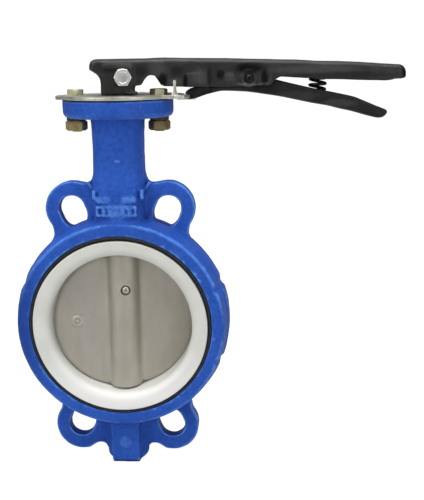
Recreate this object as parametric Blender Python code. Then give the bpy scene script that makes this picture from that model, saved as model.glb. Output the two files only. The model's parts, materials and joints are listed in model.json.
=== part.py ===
"""Wafer butterfly valve, nominal bore 125 mm, with a latching hand lever.

Frame: metres, +Z up along the stem, Y along the pipe, origin on the stem axis
at the flat underside of the lower boss, where the valve stands. The lever and
the disc are drawn 10 degrees open from the closed position. Dimensions are in
millimetres, and heights are measured from the centre of the bore; the empty
bore_centre, which carries every piece, lifts them by the height of the bore
centre above the boss's underside.

Front is -Y and rear is +Y. Left is -X and right is +X.
"""

import math

import bmesh
import bpy
from mathutils import Matrix, Vector

# -------------------------------------------------------- shared dimensions
# Names ending in _R are radii, _W half widths in Y and _AF widths across flats.
MM = 0.001
GAP = 0.3                 # running gap between neighbouring pieces
REST_ANGLE = 10.0         # lever and disc, degrees open from closed

BODY_HALF = 26.2          # half of the cast ring's width
BORE_R = 71.0             # cast ring, bore under the seat
RECESS_R = 77.7           # recess for the lips of the seat
RECESS_Y = 19.8
BOSS_Z = -128.5           # underside of the lower boss

FLANGE_Z = 190.0          # top face of the actuator flange
FLANGE_BOLT_CIRCLE = 69.85
FLANGE_BOLTS_X = (("left", -FLANGE_BOLT_CIRCLE / 2), ("right", FLANGE_BOLT_CIRCLE / 2))
PLATE_Z0 = FLANGE_Z + GAP             # notch plate, underside
PLATE_Z1 = PLATE_Z0 + 2.7             # notch plate, top
BOLT_R = 5.0              # M10
BOLT_HOLE_R = BOLT_R + 0.5

STEM_R = 9.46             # 18.92 mm shaft
STEM_FIT_R = STEM_R + GAP             # holes that turn on the stem
STEM_BOTTOM = -118.9
STEM_SHOULDER = 193.6
STEM_TOP = 211.0
SQUARE_HALF = 14.0 / 2    # square drive end
STEM_HOLE_R = 12.0        # bore in the casting, lined with bushes
STEM_HOLE_BOTTOM = -122.0
POCKET_R = 15.0           # wider pocket at the top of the stem bore
POCKET_Z = 186.0          # floor of that pocket
CIRCLIP_GROOVE_R = 8.7
CIRCLIP_GROOVE_Z0 = 187.4
CIRCLIP_GROOVE_Z1 = 189.0

PIN = (1.6, 28.2)         # taper pin through disc and stem, x and z
PIN_R = 3.6
HUB_R = 14.4              # disc hub

CLAMP = (4.7, 207.6)      # clamp bolt, x and z in the lever's own frame
CLAMP_R = 4.0
PIVOT = (108.5, 205.0)    # trigger pivot, x and z in the lever's own frame
PIVOT_R = 3.0

RING_SEGS = 48
FLANGE_SEGS = 40
MEDIUM_SEGS = 24
SMALL_SEGS = 16


# ------------------------------------------------------------ scene helpers
def clear_scene():
    for obj in list(bpy.data.objects):
        bpy.data.objects.remove(obj, do_unlink=True)


def make_material(name, colour, roughness, metallic):
    mat = bpy.data.materials.new(name)
    mat.use_nodes = True
    shader = mat.node_tree.nodes["Principled BSDF"]
    shader.inputs["Base Color"].default_value = (*colour, 1.0)
    shader.inputs["Roughness"].default_value = roughness
    shader.inputs["Metallic"].default_value = metallic
    mat.diffuse_color = (*colour, 1.0)
    return mat


def make_empty(name, parent=None):
    empty = bpy.data.objects.new(name, None)
    bpy.context.scene.collection.objects.link(empty)
    empty.parent = parent
    return empty


clear_scene()

BLUE_PAINT = make_material(
    "blue_paint", colour=(0.022, 0.082, 0.45), roughness=0.42, metallic=0.0)
BLACK_COATING = make_material(
    "black_coating", colour=(0.018, 0.019, 0.02), roughness=0.45, metallic=0.0)
PTFE = make_material(
    "ptfe_white", colour=(0.74, 0.73, 0.68), roughness=0.38, metallic=0.0)
EPDM = make_material(
    "epdm_black", colour=(0.015, 0.015, 0.016), roughness=0.7, metallic=0.0)
STAINLESS = make_material(
    "stainless_cast", colour=(0.42, 0.39, 0.34), roughness=0.42, metallic=1.0)
SHAFT_STEEL = make_material(
    "shaft_steel", colour=(0.55, 0.54, 0.52), roughness=0.28, metallic=1.0)
ZINC = make_material(
    "zinc_plate", colour=(0.62, 0.61, 0.58), roughness=0.33, metallic=1.0)
YELLOW_ZINC = make_material(
    "yellow_zinc", colour=(0.46, 0.42, 0.24), roughness=0.36, metallic=1.0)
BRONZE_ZINC = make_material(
    "bronze_zinc", colour=(0.27, 0.19, 0.085), roughness=0.38, metallic=1.0)
BUSH_POLYMER = make_material(
    "bush_polymer", colour=(0.10, 0.10, 0.11), roughness=0.5, metallic=0.0)
SPRING_BLACK = make_material(
    "spring_black", colour=(0.03, 0.03, 0.032), roughness=0.35, metallic=1.0)

# The frames: the bore centre, what turns with the stem, and the trigger.
BORE_CENTRE = make_empty("bore_centre")
BORE_CENTRE.location.z = -BOSS_Z * MM
STEM_AXIS = make_empty("stem_axis", BORE_CENTRE)
STEM_AXIS.rotation_euler = (0, 0, math.radians(REST_ANGLE))
TRIGGER_AXIS = make_empty("trigger_axis", STEM_AXIS)
TRIGGER_AXIS.location = (PIVOT[0] * MM, 0, PIVOT[1] * MM)


def mesh_object(bm, name, parent):
    """Turns a bmesh drawn in millimetres into a linked object in metres.

    All shapes are drawn about the stem axis; those on the trigger's frame
    are moved so that their origin is at the pivot.
    """
    origin = Vector((PIVOT[0], 0, PIVOT[1]) if parent == TRIGGER_AXIS else (0, 0, 0))
    bmesh.ops.remove_doubles(bm, verts=bm.verts, dist=1e-5)
    bmesh.ops.recalc_face_normals(bm, faces=bm.faces)
    to_metres = Matrix.Scale(MM, 4) @ Matrix.Translation(-origin)
    bmesh.ops.transform(bm, matrix=to_metres, verts=bm.verts)
    mesh = bpy.data.meshes.new(name)
    bm.to_mesh(mesh)
    bm.free()
    obj = bpy.data.objects.new(name, mesh)
    bpy.context.scene.collection.objects.link(obj)
    obj.parent = parent
    return obj


def piece(bm, name, mat, parent=BORE_CENTRE, sharp_angle=30.0):
    """Makes a visible piece, smooth below sharp_angle degrees, or flat if None."""
    obj = mesh_object(bm, name, parent)
    obj.data.materials.append(mat)
    if sharp_angle is not None:
        for polygon in obj.data.polygons:
            polygon.use_smooth = True
        obj.data.set_sharp_from_angle(angle=math.radians(sharp_angle))
    return obj


def combine(obj, bm, name, operation):
    """Makes a hidden helper and applies it to obj with a boolean modifier."""
    helper = mesh_object(bm, name, obj.parent)
    helper.hide_render = True
    helper.display_type = "WIRE"
    mod = obj.modifiers.new(helper.name, "BOOLEAN")
    mod.operation = operation
    mod.solver = "EXACT"
    mod.object = helper
    return helper


def union(obj, bm, name):
    return combine(obj, bm, name, "UNION")


def cut(obj, bm, name):
    return combine(obj, bm, name, "DIFFERENCE")


# ------------------------------------------------------------ shape helpers
def polar(radius, degrees, centre=(0, 0)):
    angle = math.radians(degrees)
    return (centre[0] + radius * math.cos(angle), centre[1] + radius * math.sin(angle))


def arc(radius, start, end, steps, centre=(0, 0)):
    return [polar(radius, start + (end - start) * i / steps, centre)
            for i in range(steps + 1)]


def rectangle(x0, x1, y0, y1):
    return [(x0, y0), (x1, y0), (x1, y1), (x0, y1)]


def lathe(profile, axis="Z", segs=SMALL_SEGS, closed=False, centre=(0, 0)):
    """Spins (radius, height) points. closed joins the last point to the first."""
    bm = bmesh.new()
    rings = []
    for radius, height in profile:
        ring = []
        # A point on the axis needs only one vertex.
        for i in range(1 if radius < 1e-6 else segs):
            angle = 2 * math.pi * i / segs
            across = radius * math.cos(angle) + centre[0]
            along = radius * math.sin(angle) + centre[1]
            point = (across, along, height) if axis == "Z" else (across, height, along)
            ring.append(bm.verts.new(point))
        rings.append(ring)
    pairs = list(zip(rings, rings[1:]))
    if closed:
        pairs.append((rings[-1], rings[0]))
    for low, high in pairs:
        for i in range(segs):
            j = (i + 1) % segs
            if len(low) == 1:
                bm.faces.new((low[0], high[i], high[j]))
            elif len(high) == 1:
                bm.faces.new((low[i], high[0], low[j]))
            else:
                bm.faces.new((low[i], high[i], high[j], low[j]))
    return bm


def prism(points, axis, low, high):
    """Extrudes a polygon of (y, z), (x, z) or (x, y) points along X, Y or Z."""
    bm = bmesh.new()

    def vertex(point, height):
        coords = list(point)
        coords.insert("XYZ".index(axis), height)
        return bm.verts.new(coords)

    bottom = [vertex(point, low) for point in points]
    top = [vertex(point, high) for point in points]
    bm.faces.new(bottom)
    bm.faces.new(list(reversed(top)))
    for i in range(len(points)):
        j = (i + 1) % len(points)
        bm.faces.new((bottom[i], top[i], top[j], bottom[j]))
    bmesh.ops.recalc_face_normals(bm, faces=bm.faces)
    return bm


def bevel_outline(bm, starts, offset, segments):
    """Rounds a prism's end-face edges that run from the outline points in starts."""
    count = len(bm.verts) // 2
    bm.verts.index_update()
    chosen = []
    for edge in bm.edges:
        first, second = sorted(v.index for v in edge.verts)
        if second - first == 1 and first % count in starts:
            chosen.append(edge)
    bmesh.ops.bevel(bm, geom=chosen, offset=offset, offset_type="OFFSET", segments=segments,
                    profile=0.5, affect="EDGES", clamp_overlap=True)


def rod(radius, low, high, axis="Z", centre=(0, 0), segs=SMALL_SEGS, chamfer=0.0):
    if chamfer:
        profile = [(0, low), (radius - chamfer, low), (radius, low + chamfer),
                   (radius, high - chamfer), (radius - chamfer, high), (0, high)]
    else:
        profile = [(0, low), (radius, low), (radius, high), (0, high)]
    return lathe(profile, axis, segs, centre=centre)


def tube(inner, outer, low, high, axis="Z", centre=(0, 0)):
    profile = [(inner, low), (outer, low), (outer, high), (inner, high)]
    return lathe(profile, axis, closed=True, centre=centre)


def loft(sections):
    """Joins equal-length closed loops of points into one capped solid."""
    bm = bmesh.new()
    loops = [[bm.verts.new(point) for point in section] for section in sections]
    count = len(loops[0])
    for low, high in zip(loops, loops[1:]):
        for i in range(count):
            j = (i + 1) % count
            bm.faces.new((low[i], low[j], high[j], high[i]))
    bm.faces.new(list(reversed(loops[0])))
    bm.faces.new(loops[-1])
    return bm


def split_ring(inner, outer, half_gap, low, high, gap_angle):
    """A flat C ring, open by half_gap degrees either side of gap_angle."""
    start, end = gap_angle + half_gap, gap_angle + 360 - half_gap
    return prism(arc(outer, start, end, 16) + arc(inner, end, start, 16), "Z", low, high)


def hex_solid(across_flats, low, high, chamfer_low, turn=0.0):
    """A hexagon along Z, its corners chamfered at the top and, if asked, below."""
    chamfer, end_scale = 1.1, 0.91
    flat_r = across_flats / 2
    corner_r = across_flats / math.sqrt(3)
    # Stations: z and scale of the corner radius.
    stations = [(low, end_scale), (low + chamfer, 1.0)] if chamfer_low else [(low, 1.0)]
    stations += [(high - chamfer, 1.0), (high, end_scale)]
    return loft([[(*polar(flat_r if i % 2 else corner_r * scale, 30 * i + turn), z)
                  for i in range(12)] for z, scale in stations])


def transformed(bm, matrix):
    bmesh.ops.transform(bm, matrix=matrix, verts=bm.verts)
    return bm


def shifted_x(bm, x):
    return transformed(bm, Matrix.Translation((x, 0, 0)))


def along_y(bm, centre):
    """Turns a solid drawn along +Z so that +Z points to -Y, through (x, z)."""
    turn = Matrix.Rotation(math.radians(90), 4, "X")
    return transformed(bm, Matrix.Translation((centre[0], 0, centre[1])) @ turn)


# --------------------------------------------------------------- valve body
RING_FACE_R = 88.4        # cast ring, outer radius at its faces
RING_MID_R = 92.0         # cast ring, outer radius at its middle
RING_MID_HALF = 7.0
RING_CHAMFER = 1.0

LUG_ANGLE = 22.8          # bolt slots, degrees either side of the stem
LUG_HALF = 5.5            # half thickness of the lugs
LUG_R = 23.3
SLOT_R = 10.9             # half width of the bolt slots
# Bolt slots: label, side in x, side in z, distances of the two end centres.
SLOTS = [("ul", -1, 1, 100.8, 106.6), ("ur", 1, 1, 100.8, 106.6),
         ("ll", -1, -1, 100.8, 105.2), ("lr", 1, -1, 100.8, 105.2)]
# Right-hand outline of the lug web (x, z), each part running away from z = 0.
UPPER_LUG = (
    [(66.5, 60.9), (62.5, 66.5), (59.2, 71.5), (57.7, 75.5), (58.0, 79.5)]
    + arc(LUG_R, -38, 106, 12, centre=(40.64, 98.1))
    + [(31.0, 119.9), (27.6, 119.6), (24.8, 120.8), (22.8, 124.5), (21.0, 131.0)])
LOWER_LUG = (
    [(66.5, -60.9), (63.0, -65.5), (59.4, -70.0), (57.6, -73.5), (57.9, -78.0)]
    + arc(LUG_R, 38, -106, 12, centre=(40.5, -97.3))
    + [(31.2, -117.6), (26.5, -115.2), (22.5, -115.0), (19.6, -117.0), (17.5, -121.0)])

SIDE_PAD_R = 92.1         # raised pads at both sides of the ring
SIDE_PAD_ROOT_R = 80.0    # sunk into the ring
SIDE_PAD_HALF = 11.0
SIDE_PAD_ANGLE = 21.5     # half of the angle each pad spans

NECK_SEGS = 24
# Neck sections: z, half width in x, half depth in y, superellipse power.
NECK = [(60, 21.3, 21.3, 4.2), (116, 21.3, 21.3, 4.2), (122, 21.9, 20.9, 3.2),
        (131, 21.7, 20.6, 2.7), (147, 21.4, 20.6, 2.5), (160, 21.8, 20.9, 2.4),
        (168, 22.2, 21.4, 2.3), (175.5, 22.5, 21.7, 2.3), (180, 22.8, 22.0, 2.3)]

FLANGE_R = 46.0           # actuator flange
FLANGE_SHIFT = 0.8        # the cast flange sits slightly off the stem axis
FLANGE_UNDER = FLANGE_Z - 14.9
# Actuator flange: radius, z.
FLANGE_PROFILE = [
    (0, FLANGE_Z - 20), (20, FLANGE_UNDER), (FLANGE_R - 3.0, FLANGE_UNDER),
    (FLANGE_R - 1.0, FLANGE_UNDER + 0.9), (FLANGE_R, FLANGE_UNDER + 3.0),
    (FLANGE_R, FLANGE_Z - 0.6), (FLANGE_R - 0.6, FLANGE_Z), (0, FLANGE_Z)]

BOSS_R = 18.3
BOSS_TOP = -60            # inside the ring
# Round lower boss: radius, z.
BOSS_PROFILE = [
    (0, BOSS_Z), (13.5, BOSS_Z), (15.3, BOSS_Z + 0.7), (BOSS_R - 0.5, BOSS_Z + 3.4),
    (BOSS_R, BOSS_Z + 5.0), (BOSS_R, BOSS_TOP), (0, BOSS_TOP)]
# Block through the lower boss: y, z.
BOSS_PAD_OUTLINE = [
    (-18.7, BOSS_TOP), (18.7, BOSS_TOP), (18.7, BOSS_Z + 3.5), (15.5, BOSS_Z + 0.05),
    (-15.5, BOSS_Z + 0.05), (-18.7, BOSS_Z + 3.5)]
BOSS_PAD_HALF_X = 12.0

# Cutters, running past the casting at their open ends: radius, y or z.
SEAT_BORE_PROFILE = [
    (0, -60), (RECESS_R, -60), (RECESS_R, -RECESS_Y), (BORE_R, -RECESS_Y),
    (BORE_R, RECESS_Y), (RECESS_R, RECESS_Y), (RECESS_R, 60), (0, 60)]
STEM_BORE_PROFILE = [
    (0, STEM_HOLE_BOTTOM), (STEM_HOLE_R, STEM_HOLE_BOTTOM), (STEM_HOLE_R, POCKET_Z),
    (POCKET_R, POCKET_Z), (POCKET_R, 200), (0, 200)]


def ring_blank():
    face = BODY_HALF
    shoulder = face - RING_CHAMFER
    return lathe([(0, -face), (RING_FACE_R - RING_CHAMFER, -face), (RING_FACE_R, -shoulder),
                  (RING_MID_R, -RING_MID_HALF), (RING_MID_R, RING_MID_HALF),
                  (RING_FACE_R, shoulder), (RING_FACE_R - RING_CHAMFER, face), (0, face)],
                 "Y", RING_SEGS)


def lug_web():
    right = UPPER_LUG[::-1] + LOWER_LUG
    left = [(-x, z) for x, z in reversed(right)]
    return prism(right + left, "Y", -LUG_HALF, LUG_HALF)


def bolt_slot(side_x, side_z, inner, outer):
    """A cutter along Y with round ends, long in the radial direction."""
    angle = math.radians(90 - LUG_ANGLE)
    radial = Vector((math.cos(angle) * side_x, math.sin(angle) * side_z))
    across = Vector((-radial.y, radial.x))
    outline = []
    for end, sense in ((outer, 1), (inner, -1)):
        for i in range(9):
            turn = math.pi * i / 8
            offset = across * (SLOT_R * math.cos(turn)) + radial * (SLOT_R * math.sin(turn))
            outline.append(tuple(radial * end + offset * sense))
    return prism(outline, "Y", -20, 20)


def side_pad(middle):
    start, end = middle - SIDE_PAD_ANGLE, middle + SIDE_PAD_ANGLE
    outline = arc(SIDE_PAD_R, start, end, 6) + arc(SIDE_PAD_ROOT_R, end, start, 6)
    return prism(outline, "Y", -SIDE_PAD_HALF, SIDE_PAD_HALF)


def neck_section(z, half_x, half_y, power):
    """A superellipse at height z."""
    points = []
    for i in range(NECK_SEGS):
        angle = 2 * math.pi * i / NECK_SEGS
        cosine, sine = math.cos(angle), math.sin(angle)
        x = half_x * math.copysign(abs(cosine) ** (2 / power), cosine)
        y = half_y * math.copysign(abs(sine) ** (2 / power), sine)
        points.append((x, y, z))
    return points


def build_body():
    body = piece(ring_blank(), "valve_body", BLUE_PAINT)
    lugs = union(body, lug_web(), "lug_web")
    for label, side_x, side_z, inner, outer in SLOTS:
        cut(lugs, bolt_slot(side_x, side_z, inner, outer), "slot_" + label)
    for label, middle in (("right", 0), ("left", 180)):
        union(body, side_pad(middle), "side_pad_" + label)
    union(body, loft([neck_section(*row) for row in NECK]), "neck")
    union(body, lathe(FLANGE_PROFILE, "Z", FLANGE_SEGS, centre=(FLANGE_SHIFT, 0)), "top_flange")
    union(body, lathe(BOSS_PROFILE, "Z", MEDIUM_SEGS), "bottom_boss")
    union(body, prism(BOSS_PAD_OUTLINE, "X", -BOSS_PAD_HALF_X, BOSS_PAD_HALF_X), "boss_pad")
    cut(body, lathe(SEAT_BORE_PROFILE, "Y", RING_SEGS), "seat_bore")
    cut(body, lathe(STEM_BORE_PROFILE), "stem_bore")
    for label, x in FLANGE_BOLTS_X:
        cut(body, rod(BOLT_HOLE_R, 165, 200, centre=(x, 0)), "bolt_hole_" + label)


# --------------------------------------------------------------------- seat
SEAT_HALF = 27.2          # half of the seat's width between pipe flanges
LINER_R = 66.0            # liner, outer radius between its lips
LIP_R = 74.9              # liner lips, outer radius
LIP_Y = 22.9              # liner lips, inner face

# Rear (+Y) half of each section: radius, y. The front half mirrors it.
BACKING_HALF = [
    (BORE_R - GAP, RECESS_Y + GAP), (RECESS_R - GAP, RECESS_Y + GAP),
    (RECESS_R - GAP, 26.1), (RECESS_R - GAP - 0.6, 26.7), (LIP_R + GAP, 26.7),
    (LIP_R + GAP, LIP_Y - GAP), (LINER_R + GAP, LIP_Y - GAP)]
LINER_HALF = [
    (LINER_R, LIP_Y), (LIP_R, LIP_Y), (LIP_R, 26.5), (74.2, SEAT_HALF),
    (67.5, SEAT_HALF), (63.5, 26.3), (61.3, 23.6), (60.9, 20.5), (61.65, 12.5)]


def build_seat():
    for name, hole_name, half, mat in (
            ("seat_backing", "backing_stem_hole", BACKING_HALF, EPDM),
            ("seat_liner", "liner_stem_hole", LINER_HALF, PTFE)):
        profile = [(radius, -y) for radius, y in half] + half[::-1]
        ring = piece(lathe(profile, "Y", RING_SEGS, closed=True), name, mat)
        cut(ring, rod(STEM_FIT_R, -90, 90), hole_name)


# ------------------------------------------------------- stem guide hardware
# Bushes: name, bottom z, top z.
BUSHES = [("stem_bush_upper", 168.0, POCKET_Z - GAP), ("stem_bush_middle", 80.0, 104.0),
          ("stem_bush_lower", -116.0, -80.0)]
ORINGS = [("stem_oring_upper", 165.0), ("stem_oring_lower", 107.0)]   # name, z
THRUST_WASHER_R = 11.4
RETAINING_WASHER_R = 14.6


def oring(z):
    centre = ((STEM_R + STEM_HOLE_R) / 2, z)
    radius = (STEM_HOLE_R - STEM_R) / 2 - GAP
    return lathe([polar(radius, 45 * i, centre) for i in range(8)], closed=True)


def build_stem_guides():
    for name, low, high in BUSHES:
        piece(tube(STEM_FIT_R, STEM_HOLE_R - GAP, low, high), name, BUSH_POLYMER)
    for name, z in ORINGS:
        piece(oring(z), name, EPDM, sharp_angle=60)
    piece(rod(THRUST_WASHER_R, STEM_HOLE_BOTTOM + GAP, STEM_BOTTOM - GAP, chamfer=0.4),
          "thrust_washer", BUSH_POLYMER)
    piece(tube(STEM_FIT_R, RETAINING_WASHER_R, POCKET_Z + GAP, CIRCLIP_GROOVE_Z0 - GAP),
          "retaining_washer", ZINC)


# -------------------------------------------------------------- notch plate
PLATE_R = 46.5
SECTOR_R = 56.5           # tips between the notches
NOTCH_ROOT_R = 49.2
NOTCH_W = 5.0             # full width of a notch
NOTCH_COUNT = 10
NOTCH_PITCH = 10.0        # degrees
# Plain arcs of the edge before and after the sector: radius, start, end, steps.
ARCS_BEFORE = [(55.2, -27, -25, 1), (63.6, -23.5, -13, 2)]
ARCS_AFTER = [(55.5, 99, 113, 2), (PLATE_R, 118, 164, 8), (51.0, 169, 203, 6),
              (PLATE_R, 208, 329, 20)]
SECTOR_START, SECTOR_END = -8, 98     # degrees

# Stop tabs, as drawn at +X: x limits, z of the shoulder, y limits by thickness.
TAB_X0, TAB_X1 = 47.8, 52.8
TAB_SHOULDER_Z = 195.0
TAB_Y0, TAB_Y1 = 17.6, 20.4


def plate_outline():
    tip = math.degrees(math.asin(NOTCH_W / 2 / SECTOR_R))
    root = math.degrees(math.asin(NOTCH_W / 2 / NOTCH_ROOT_R))
    points = []
    for row in ARCS_BEFORE:
        points += arc(*row)
    points.append(polar(SECTOR_R, -11))
    start = SECTOR_START
    for k in range(NOTCH_COUNT):
        middle = NOTCH_PITCH * k
        points += arc(SECTOR_R, start, middle - tip, 2)
        points += arc(NOTCH_ROOT_R, middle - root, middle + root, 2)
        start = middle + tip
    points += arc(SECTOR_R, start, SECTOR_END, 2)
    for row in ARCS_AFTER:
        points += arc(*row)
    return points


def stop_tab(y0, y1, top):
    """An upright tab, narrower above its shoulder, with chamfered top corners."""
    # Right-hand edge: inset from the tab's side, z.
    edge = [(0, PLATE_Z0 + 0.5), (0, TAB_SHOULDER_Z), (1.4, TAB_SHOULDER_Z + 1.2),
            (1.4, top - 0.8), (1.9, top)]
    outline = [(TAB_X1 - inset, z) for inset, z in edge]
    outline += [(TAB_X0 + inset, z) for inset, z in reversed(edge)]
    return prism(outline, "Y", y0, y1)


def build_notch_plate():
    plate = piece(prism(plate_outline(), "Z", PLATE_Z0, PLATE_Z1), "notch_plate", ZINC,
                  sharp_angle=None)
    union(plate, stop_tab(-TAB_Y1, -TAB_Y0, 205.0), "stop_tab_closed")
    open_tab = stop_tab(TAB_Y0, TAB_Y1, 203.0)
    quarter_turn = Matrix.Rotation(math.pi / 2, 4, "Z")
    union(plate, transformed(open_tab, quarter_turn), "stop_tab_open")
    cut(plate, rod(STEM_R + 0.8, 180, 200), "plate_stem_hole")
    for label, x in FLANGE_BOLTS_X:
        cut(plate, rod(BOLT_HOLE_R, 180, 200, centre=(x, 0)), "plate_bolt_hole_" + label)


# ------------------------------------------------------------- flange bolts
BOLT_AF = 13.0
NUT_AF = 16.0
HEAD_TOP = 197.8
SHANK_BOTTOM = 160.5
NUT_Z = (163.9, 172.2)
SPRING_WASHER_R = 8.4
SPRING_WASHER_Z = (172.5, 174.8)
# Degrees each part is turned about its bolt: head, nut, gap of the spring washer.
BOLT_TURNS = {"left": (36.8, 11.8, 200.0), "right": (14.7, 6.7, 60.0)}


def build_flange_bolts():
    for label, x in FLANGE_BOLTS_X:
        head_turn, nut_turn, gap_angle = BOLT_TURNS[label]
        head = hex_solid(BOLT_AF, PLATE_Z1 + GAP, HEAD_TOP, False, head_turn)
        bolt = piece(shifted_x(head, x), "flange_bolt_" + label, YELLOW_ZINC)
        union(bolt, rod(BOLT_R, SHANK_BOTTOM, PLATE_Z1 + 2, centre=(x, 0), chamfer=0.8),
              "bolt_shank_" + label)
        washer = split_ring(BOLT_R + GAP, SPRING_WASHER_R, 5, *SPRING_WASHER_Z, gap_angle)
        piece(shifted_x(washer, x), "flange_spring_washer_" + label, BRONZE_ZINC)
        nut = piece(shifted_x(hex_solid(NUT_AF, *NUT_Z, True, nut_turn), x),
                    "flange_nut_" + label, BRONZE_ZINC)
        cut(nut, rod(BOLT_R + GAP, 150, 180, centre=(x, 0)), "nut_bore_" + label)


# --------------------------------------------------------------------- stem
# Round part of the stem: radius, z.
STEM_PROFILE = [
    (0, STEM_BOTTOM), (STEM_R - 0.6, STEM_BOTTOM), (STEM_R, STEM_BOTTOM + 0.6),
    (STEM_R, CIRCLIP_GROOVE_Z0), (CIRCLIP_GROOVE_R, CIRCLIP_GROOVE_Z0),
    (CIRCLIP_GROOVE_R, CIRCLIP_GROOVE_Z1), (STEM_R, CIRCLIP_GROOVE_Z1),
    (STEM_R, STEM_SHOULDER), (0, STEM_SHOULDER)]


def square_drive():
    """A square whose corners are cut off where they meet the round stem."""
    half = SQUARE_HALF
    edge = math.sqrt((STEM_R - 0.05) ** 2 - half ** 2)
    outline = [(half, -edge), (half, edge), (edge, half), (-edge, half),
               (-half, edge), (-half, -edge), (-edge, -half), (edge, -half)]
    return prism(outline, "Z", STEM_SHOULDER - 2, STEM_TOP)


def build_stem():
    stem = piece(lathe(STEM_PROFILE, "Z", MEDIUM_SEGS), "stem", SHAFT_STEEL, STEM_AXIS)
    union(stem, square_drive(), "square_drive")
    cut(stem, rod(CLAMP_R + 2 * GAP, -30, 30, "Y", CLAMP), "clamp_groove")
    cut(stem, rod(PIN_R + GAP, -30, 30, "Y", PIN), "stem_pin_hole")
    circlip = split_ring(CIRCLIP_GROOVE_R + GAP, 13.6, 14, CIRCLIP_GROOVE_Z0 + GAP,
                         CIRCLIP_GROOVE_Z1 - GAP, 250.0)
    piece(circlip, "stem_circlip", SPRING_BLACK, STEM_AXIS)


# --------------------------------------------------------------------- disc
DISC_R = 61.35
DISC_HALF = 3.6
HUB_HALF = 58.9           # half length of the hub
FILLET_HALF = 55          # half length of the fillets beside the hub
# Section of a hub fillet on the right-hand side: x, y.
FILLET_SECTION = [(11.0, -7.4), (21.0, -3.2), (21.0, 3.2), (11.0, 7.4)]
# Taper pin: radius, y.
PIN_PROFILE = [
    (0, -HUB_R + 0.1), (PIN_R - 0.7, -HUB_R + 0.1), (PIN_R - 0.1, -HUB_R + 0.7),
    (PIN_R - 0.25, HUB_R - 0.7), (PIN_R - 0.8, HUB_R - 0.1), (0, HUB_R - 0.1)]


def disc_plate():
    """A slightly domed plate whose rim is part of a sphere, eased at the faces."""
    half = DISC_HALF
    face_rim = DISC_R - 1.6
    rim = [(math.sqrt(DISC_R ** 2 - y * y), y) for y in (-half * 0.6, 0, half * 0.6)]
    return lathe([(0, -half - 0.4), (40, -half - 0.3), (face_rim, -half)] + rim
                 + [(face_rim, half), (40, half + 0.3), (0, half + 0.4)], "Y", RING_SEGS)


def build_disc():
    disc = piece(disc_plate(), "disc", STAINLESS, STEM_AXIS)
    union(disc, rod(HUB_R, -HUB_HALF, HUB_HALF, segs=MEDIUM_SEGS), "disc_hub")
    for label, side in (("left", -1), ("right", 1)):
        fillet = loft([[(side * x, y, z) for x, y in FILLET_SECTION]
                       for z in (-FILLET_HALF, FILLET_HALF)])
        union(disc, fillet, "hub_fillet_" + label)
    cut(disc, rod(STEM_FIT_R, -90, 90, segs=MEDIUM_SEGS), "disc_bore")
    cut(disc, rod(PIN_R + GAP, -30, 30, "Y", PIN), "disc_pin_hole")
    piece(lathe(PIN_PROFILE, "Y", centre=PIN), "disc_taper_pin", SHAFT_STEEL, STEM_AXIS)


# -------------------------------------------------------------------- lever
LEVER_W = 17.0
CHANNEL_W = 13.5          # channel under the lever
LEVER_HUB_W = 19.0
LEVER_BASE_Z = 194.0      # underside of the lever's hub
PIVOT_BOSS_R = 6.4
# Side view of the lever: x, z. The top runs from the hub end to the tip.
LEVER_TOP = [
    (-22.1, 213.6), (-22.1, 216.8), (-21.1, 219.9), (-19.2, 221.3), (-12.8, 222.1),
    (20.0, 222.2), (53.0, 222.4), (87.0, 221.4), (120.0, 220.6), (155.0, 219.2),
    (189.0, 217.6), (221.0, 215.9), (237.1, 214.9), (241.1, 212.6), (243.1, 209.3),
    (243.1, 205.0)]
# The underside runs back from the tip to the hub end.
LEVER_BOTTOM = [
    (241.7, 203.3), (237.6, 202.9), (232.8, 202.6), (224.2, 201.3), (208.0, 201.8),
    (185.2, 202.9), (151.2, 204.7), (135.0, 206.0), (130.5, 203.4), (127.0, 199.6),
    (123.5, 198.6), (61.2, 198.7), (46.0, 199.6), (37.6, 199.7), (34.6, 204.4),
    (31.2, 208.4), (26.2, 208.5), (22.9, 205.2), (19.5, 200.9), (14.6, 200.9),
    (14.4, LEVER_BASE_Z), (-12.2, LEVER_BASE_Z), (-12.8, 201.8), (-13.5, 206.5),
    (-15.9, 209.8), (-20.0, 212.4)]
# Side view of the channel cutter, open below the lever: x, z.
LEVER_CHANNEL = [
    (20.5, 190.0), (20.5, 213.0), (26.0, 217.6), (60.0, 218.0), (100.0, 217.0),
    (155.0, 215.2), (200.0, 213.0), (232.1, 211.0), (237.6, 207.5), (237.6, 190.0)]
# Plan view of the pointed foot at the front of the hub: x, y.
POINTER_FOOT = [(7.0, -19.5), (11.5, -22.0), (15.5, -20.5), (16.0, -17.5), (9.0, -16.5)]


def lever_blank():
    bm = prism(LEVER_TOP + LEVER_BOTTOM, "Y", -LEVER_W, LEVER_W)
    # The whole top is rounded except its last, upright edge at the tip.
    bevel_outline(bm, range(len(LEVER_TOP) - 2), offset=4.0, segments=3)
    return bm


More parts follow.
